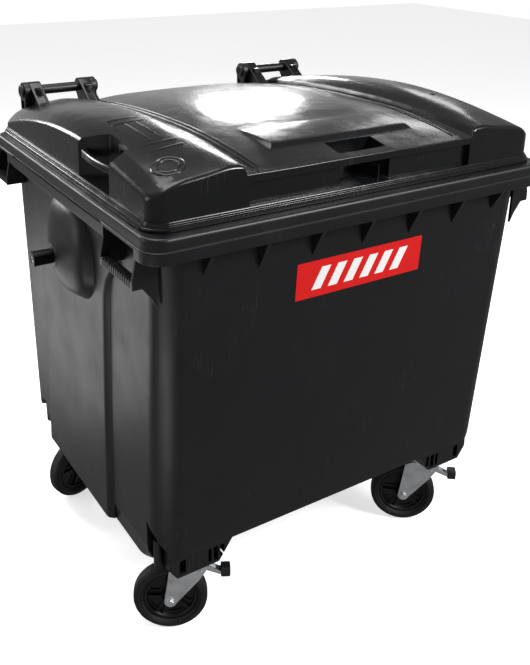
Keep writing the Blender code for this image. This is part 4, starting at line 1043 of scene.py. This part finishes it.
for bar in prints:
    bar.select_set(True)
bpy.ops.object.join()
settle(label, "tub", "label_film", None, "front_label")


# ---------------------------------------------------------------- drain plug
# Under the floor a black quarter-turn plug closes the drain hole against a rubber ring.

plug_low, plug_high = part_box("drain_plug")
seal = lathe("drain_ring", [
    (DRAIN_BORE - 0.0006, -0.0015), (DRAIN_R - 0.001, -0.0015), (DRAIN_R, -0.0007), (DRAIN_R, 0.0007),
    (DRAIN_R - 0.001, 0.0015), (DRAIN_BORE - 0.0006, 0.0015)])
seal_middle = Matrix.Translation((0, DRAIN_Y, (seal_low.z + seal_high.z) / 2))
seal.data.transform(seal_middle @ Matrix.Rotation(math.pi / 2, 4, "X"))
plug_top, plug_face = seal_low.z - FIT, seal_low.z - FIT - 0.006


def on_drain(z):
    return (0, DRAIN_Y, z)


plug = rod("drain_cap", DRAIN_R, on_drain(plug_face), on_drain(plug_top), 48, round_off=0.0015)
join(plug, rod("stem", DRAIN_BORE - 0.001, on_drain(plug_top - 0.002), on_drain(plug_high.z),
               40, round_off=0.0015))
cut(plug, rod("dish", DRAIN_R - 0.005, on_drain(plug_face - 0.002), on_drain(plug_face + 0.002), 40))
join(plug, block("wing", (-0.022, 0.022), (DRAIN_Y - 0.004, DRAIN_Y + 0.004),
                 (plug_low.z, plug_face + 0.004), 0.0015))
settle(plug, "drain_plug", "black_plastic", BLACK_POLYAMIDE, "drain_plug")


# ---------------------------------------------------------------- castors
# Each real castor is bolted under the floor: a pressed zinc-plated fork on a ball race, a solid rubber
# tyre on a moulded wheel centre, an axle bolt with a nut and, at the front, a foot brake over the tyre.

CASTOR_FRONT_Y, CASTOR_REAR_Y = -0.3453, 0.3468
CASTOR_ANGLES = {"front_left": -28.6, "front_right": -38.4, "rear_left": 15.7, "rear_right": -14.0}
WHEEL_R, TRAIL, TYRE_W, TYRE_INNER_R = 0.100, 0.0506, 0.048, 0.073
HUB_R, BUSH_R, AXLE_R, AXLE_HEAD_R = 0.025, 0.0105, 0.006, 0.0105
FORK_GAP, FORK_T, CROWN_R, CROWN_T = 0.030, 0.0035, 0.038, 0.012
FORK_FACE = FORK_GAP + FORK_T
PLATE_L, PLATE_W, PLATE_T, RACE_T, KINGPIN_R = 0.105, 0.085, 0.004, 0.005, 0.006
HUB_W = 2 * FORK_GAP - 0.004
PLATE_TOP = FLOOR_Z - FIT
PEDAL_Z = 2 * WHEEL_R - 0.004
PEDAL_X = math.sqrt((WHEEL_R + 0.0254) ** 2 - (PEDAL_Z - WHEEL_R) ** 2) - TRAIL
PEDAL_W, PEDAL_PIN_R, PAD_W = 0.022, 0.004, 0.030
PAD_X, PAD_Z = (PEDAL_X + 0.054, PEDAL_X + 0.080), (PEDAL_Z - 0.036, PEDAL_Z - 0.008)
TONGUE_Z, TONGUE_IN = (PEDAL_Z - 0.029, PEDAL_Z - 0.018), 0.012


def rubber(name, light, dark):
    """Solid rubber: matt, dusty, with a pebbled skin of about 1 mm."""
    material, tree, shader, spot = new_material(name)
    dust = noise(tree, spot, 26.0, 6.0)
    paint(tree, shader, dust, dark, light, 0.42, 0.78)
    tree.links.new(remap(tree, dust, 0.55, 0.80), shader.inputs["Roughness"])
    relief(tree, shader, noise(tree, spot, 900.0), 0.00008)
    return material


# Solid tyre rubber: charcoal with a grey bloom of dust. Wheel polypropylene: black, half dull, grained.
TYRE_RUBBER = rubber("solid tyre rubber", "#1C1D1F", "#0B0B0C")
WHEEL_POLYPROPYLENE = plastic(
    "grained black polypropylene", "#0B0C0D", "#070708", 0.38, 0.14, 0.00005, 0.0001, 0.25)
# Brake pad polypropylene: a shade lighter than the wheel, scuffed by shoes.
PAD_POLYPROPYLENE = plastic(
    "dark grey polypropylene", "#1D1E20", "#141516", 0.40, 0.14, 0.00005, 0.0001, 0.30)

# side of the tyre from its foot to its tread, with two fine mould lines: radius, depth below the face
TYRE_SIDE = [
    (TYRE_INNER_R, 0.007), (TYRE_INNER_R + 0.003, 0.0045), (0.0785, 0.0024), (0.0790, 0.0036), (0.0800, 0.0036),
    (0.0806, 0.0016), (0.0845, 0.0002), (0.0870, 0.0004), (0.0895, 0.0014), (0.0902, 0.0030), (0.0912, 0.0030),
    (0.0920, 0.0024), (0.0942, 0.0040), (0.0944, 0.0058), (0.0953, 0.0060), (0.0962, 0.0058), (0.0976, 0.0082),
    (0.0974, 0.0098), (0.0982, 0.0102), (0.0992, 0.0110), (0.0998, 0.0140), (WHEEL_R, 0.0180),
]
TYRE_HALF = [(radius, depth - TYRE_W / 2) for radius, depth in TYRE_SIDE]
TYRE_PROFILE = TYRE_HALF + [(r, -offset) for r, offset in TYRE_HALF[::-1]]
RIM_R = TYRE_INNER_R - FIT
WEB, BAND, BORE = 0.005, 0.014, BUSH_R + FIT
WHEEL_HALF = [
    (BORE, -HUB_W / 2), (HUB_R - 0.008, -HUB_W / 2), (HUB_R - 0.007, -HUB_W / 2 + 0.0012),
    (HUB_R - 0.004, -0.018), (HUB_R - 0.001, -0.010), (HUB_R + 0.002, -WEB), (RIM_R - 0.015, -WEB),
    (RIM_R - 0.0115, -WEB - 0.001), (RIM_R - 0.0095, -BAND + 0.002), (RIM_R - 0.008, -BAND - 0.0002),
    (RIM_R - 0.0055, -BAND - 0.0014), (RIM_R - 0.002, -BAND - 0.0010), (RIM_R - 0.0006, -BAND + 0.0004),
    (RIM_R, -BAND + 0.002),
]
WHEEL_PROFILE = WHEEL_HALF + [(r, -offset) for r, offset in WHEEL_HALF[::-1]]


STEEL = ("galvanised_steel", ZINC_PLATE)


def place_castor(obj, tag, at_axle):
    """From the castor's own axes, X away from the wheel and Y along the axle, to its place."""
    end, side = tag.split("_")
    x, y = CASTOR_X * (-1 if side == "left" else 1), CASTOR_FRONT_Y if end == "front" else CASTOR_REAR_Y
    if at_axle:
        obj.data.transform(Matrix.Translation((-TRAIL, 0, WHEEL_R)))
    turn = Matrix.Rotation(math.radians(CASTOR_ANGLES[tag]), 4, "Z")
    obj.data.transform(Matrix.Translation((x, y, 0)) @ turn)


def across(width):
    return (-width / 2, width / 2)


def on_kingpin(z):
    return (0, 0, z)


def on_axle(y):
    return (0, y, 0)


def on_spindle(y):
    return (PEDAL_X, y, PEDAL_Z)


def build_castor_pieces():
    """One of each piece, as {last words of its node: (object, slot, material, drawn about the axle)}."""
    made = {}
    race_z = PLATE_TOP - PLATE_T
    plate = block("plate", across(PLATE_L), across(PLATE_W), (race_z, PLATE_TOP), 0.0012)
    join(plate, rod("race", CROWN_R - 0.004, on_kingpin(race_z + 0.002), on_kingpin(race_z - RACE_T),
                    48, CROWN_R - 0.001, 0.0012))
    for x in (-0.040, 0.040):
        for y in (-0.030, 0.030):
            top = (x, y, race_z + 0.001)
            join(plate, rod("bolt head", 0.0075, top, (x, y, race_z - 0.0055), 6, round_off=0.0008),
                 rod("washer", 0.0095, top, (x, y, race_z - 0.0012), 24, round_off=0.0004))
    cut(plate, rod("hole", KINGPIN_R + FIT, on_kingpin(race_z - 0.02), on_kingpin(PLATE_TOP + 0.01), 24))
    made["top_plate"] = (plate, *STEEL, False)

    crown_top = race_z - RACE_T - FIT
    shoulder = crown_top - CROWN_T
    fork = rod("fork", CROWN_R, on_kingpin(crown_top), on_kingpin(shoulder), 56, CROWN_R - 0.0015, 0.0022)
    outline = [
        (-0.052, shoulder - 0.004), (-0.030, shoulder + 0.006), (0.046, shoulder + 0.006),
        (PEDAL_X + 0.020, shoulder - 0.006), (PEDAL_X + 0.012, shoulder - 0.024),
        (PEDAL_X - 0.003, shoulder - 0.048),
    ] + arc(-TRAIL, WHEEL_R, 0.0165, -20, -180, 14)
    middle = Vector((-0.022, 0, 0.150))
    for way in (-1, 1):
        leg = prism("leg", outline, "Y", *mirrored(way, FORK_GAP, FORK_FACE), 0.0010)
        pressed = [(middle.x + (x - middle.x) * 0.62, middle.z + (z - middle.z) * 0.62) for x, z in outline]
        rings = []
        for y, grow in ((FORK_GAP + 0.001, 1.0), (FORK_FACE + 0.0002, 1.0), (FORK_FACE + 0.0014, 0.93)):
            rings.append([(middle.x + (x - middle.x) * grow, way * y, middle.z + (z - middle.z) * grow)
                          for x, z in pressed])
        join(leg, sweep("pressing", rings))
        join(leg, rod("boss", 0.0125, (-TRAIL, way * (FORK_GAP + 0.001), WHEEL_R),
                      (-TRAIL, way * (FORK_FACE + 0.0002), WHEEL_R), 32))
        join(fork, leg)
    join(fork, block("bridge", (-0.034, 0.046), (-FORK_GAP - 0.002, FORK_GAP + 0.002),
                     (shoulder + 0.001, shoulder + 0.0055), 0.0012))
    past = Vector((0, 0.06, 0))
    axle = Vector((-TRAIL, 0, WHEEL_R))
    cut(fork, rod("eye", AXLE_R + FIT, axle - past, axle + past, 24),
        rod("hole", KINGPIN_R + FIT, on_kingpin(shoulder - 0.02), on_kingpin(crown_top + 0.01), 24))
    made["fork"] = (fork, *STEEL, False)

    pin = rod("kingpin", KINGPIN_R, on_kingpin(PLATE_TOP - 0.0005), on_kingpin(shoulder - 0.004), 24)
    join(pin, rod("head", 0.011, on_kingpin(shoulder - 0.0043), on_kingpin(shoulder - FIT),
                  32, round_off=0.0012))
    made["kingpin"] = (pin, *STEEL, False)

    made["tyre"] = (lathe("tyre", TYRE_PROFILE, 80), "tyre_rubber", TYRE_RUBBER, True)
    wheel = lathe("wheel", WHEEL_PROFILE, 80)
    for i in range(5):
        middle_a = 69 + 72 * i
        inner_edge = arc(0, 0, HUB_R + 0.008, middle_a - 11, middle_a + 11, 5)
        outer_edge = arc(0, 0, RIM_R - 0.015, middle_a + 20, middle_a - 20, 8)
        for way in (-1, 1):
            cut(wheel, prism("window", inner_edge + outer_edge, "Y", *mirrored(way, 0.0015, HUB_W / 2)))
        spoke = math.radians(middle_a + 36)
        rings = []
        for reach, half in ((HUB_R - 0.006, 0.0022), (RIM_R - 0.010, 0.0018)):
            cx, cz = reach * math.cos(spoke), reach * math.sin(spoke)
            nx, nz = -math.sin(spoke) * half, math.cos(spoke) * half
            rings.append([(cx - nx, -0.0125, cz - nz), (cx + nx, -0.0125, cz + nz),
                          (cx + nx, 0.0125, cz + nz), (cx - nx, 0.0125, cz - nz)])
        join(wheel, sweep("spoke", rings))
    made["wheel_rim"] = (wheel, "wheel_plastic", WHEEL_POLYPROPYLENE, True)
    bush = rod("bush", BUSH_R, on_axle(-HUB_W / 2 - 0.001), on_axle(HUB_W / 2 + 0.001), 32, round_off=0.0006)
    cut(bush, rod("bore", AXLE_R + FIT, on_axle(-HUB_W), on_axle(HUB_W), 24))
    made["bush"] = (bush, *STEEL, True)

    near, far = -FORK_FACE - FIT, FORK_FACE + FIT
    bolt = rod("axle bolt", AXLE_R, on_axle(-FORK_FACE - 0.004), on_axle(FORK_FACE + 0.012),
               24, round_off=0.0010)
    join(bolt, rod("head", AXLE_HEAD_R, on_axle(near), on_axle(-FORK_FACE - 0.0068), 6, round_off=0.0010),
         rod("washer", 0.0122, on_axle(near), on_axle(-FORK_FACE - 0.0018), 32, round_off=0.0004))
    made["axle_bolt"] = (bolt, *STEEL, True)
    nut = rod("axle nut", AXLE_HEAD_R, on_axle(far), on_axle(FORK_FACE + 0.0085), 6, round_off=0.0010)
    join(nut, rod("washer", 0.0122, on_axle(far), on_axle(FORK_FACE + 0.0018), 32, round_off=0.0004))
    cut(nut, rod("bore", AXLE_R + FIT, on_axle(0), on_axle(0.08), 24))
    made["axle_nut"] = (nut, *STEEL, True)

    x, z = PEDAL_X, PEDAL_Z
    lever = prism("brake lever", [
        (x - 0.008, z - 0.007), (x + 0.012, z - 0.014), (PAD_X[0] - 0.004, TONGUE_Z[0]),
        (PAD_X[0] + TONGUE_IN, TONGUE_Z[0]), (PAD_X[0] + TONGUE_IN, TONGUE_Z[1]),
        (PAD_X[0] - 0.004, TONGUE_Z[1]), (x + 0.004, z + 0.006), (x - 0.008, z + 0.005),
    ], "Y", *across(PEDAL_W), 0.0012)
    join(lever, block("shoe", (x - 0.012, x + 0.002), across(PEDAL_W), (z - 0.021, z - 0.003), 0.0015))
    cut(lever, prism("trough", [
        (x + 0.010, z + 0.010), (x + 0.010, z - 0.004), (PAD_X[0] - 0.008, TONGUE_Z[1] - 0.005),
        (PAD_X[0] - 0.008, z + 0.010)], "Y", -PEDAL_W / 2 + 0.004, PEDAL_W / 2 - 0.004))
    cut(lever, rod("bore", PEDAL_PIN_R + FIT, on_spindle(-0.05), on_spindle(0.05), 24))
    made["brake_lever"] = (lever, *STEEL, False)
    spindle = rod("brake spindle", PEDAL_PIN_R, on_spindle(-FORK_FACE - 0.003), on_spindle(FORK_FACE + 0.003),
                  24, round_off=0.0008)
    made["brake_spindle"] = (spindle, *STEEL, False)
    pad = block("brake pad", PAD_X, across(PAD_W), PAD_Z, 0.0035, 3)
    for i in range(4):
        rib_x = PAD_X[0] + 0.005 + i * 0.0052
        join(pad, block("rib", (rib_x, rib_x + 0.0022), (-PAD_W / 2 + 0.004, PAD_W / 2 - 0.004),
                        (PAD_Z[1] - 0.002, PAD_Z[1] + 0.0010), 0.0005))
    cut(pad, block("slot", (PAD_X[0] - 0.01, PAD_X[0] + TONGUE_IN + FIT),
                   (-PEDAL_W / 2 - FIT, PEDAL_W / 2 + FIT), (TONGUE_Z[0] - FIT, TONGUE_Z[1] + FIT)))
    made["brake_pad"] = (pad, "pad_plastic", PAD_POLYPROPYLENE, False)
    return made


CARRIERS = {"top_plate": "tub", "kingpin": "tub", "tyre": "wheel", "wheel_rim": "wheel", "bush": "wheel",
            "brake_lever": "brake", "brake_pad": "brake"}
first = build_castor_pieces()
for tag in CASTOR_ANGLES:
    for piece, (pattern, slot, material, at_axle) in first.items():
        if "brake" in piece and tag.startswith("rear"):
            continue
        obj = pattern.copy()
        obj.data = pattern.data.copy()
        bpy.context.scene.collection.objects.link(obj)
        obj.name = "castor_" + tag + "_" + piece + "_piece"
        if piece == "fork" and tag.startswith("front"):
            cut(obj, rod("eye", PEDAL_PIN_R + FIT, on_spindle(-0.06), on_spindle(0.06), 24))
        place_castor(obj, tag, at_axle)
        carrier = CARRIERS.get(piece, "swivel")
        body = "tub" if carrier == "tub" else "castor_" + tag + "_" + carrier
        settle(obj, body, slot, material, "castor_" + tag + "_" + piece)
for pattern, *_ in first.values():
    bpy.data.objects.remove(pattern)
settle(seal, "tub", "tyre_rubber", TYRE_RUBBER, "drain_seal")
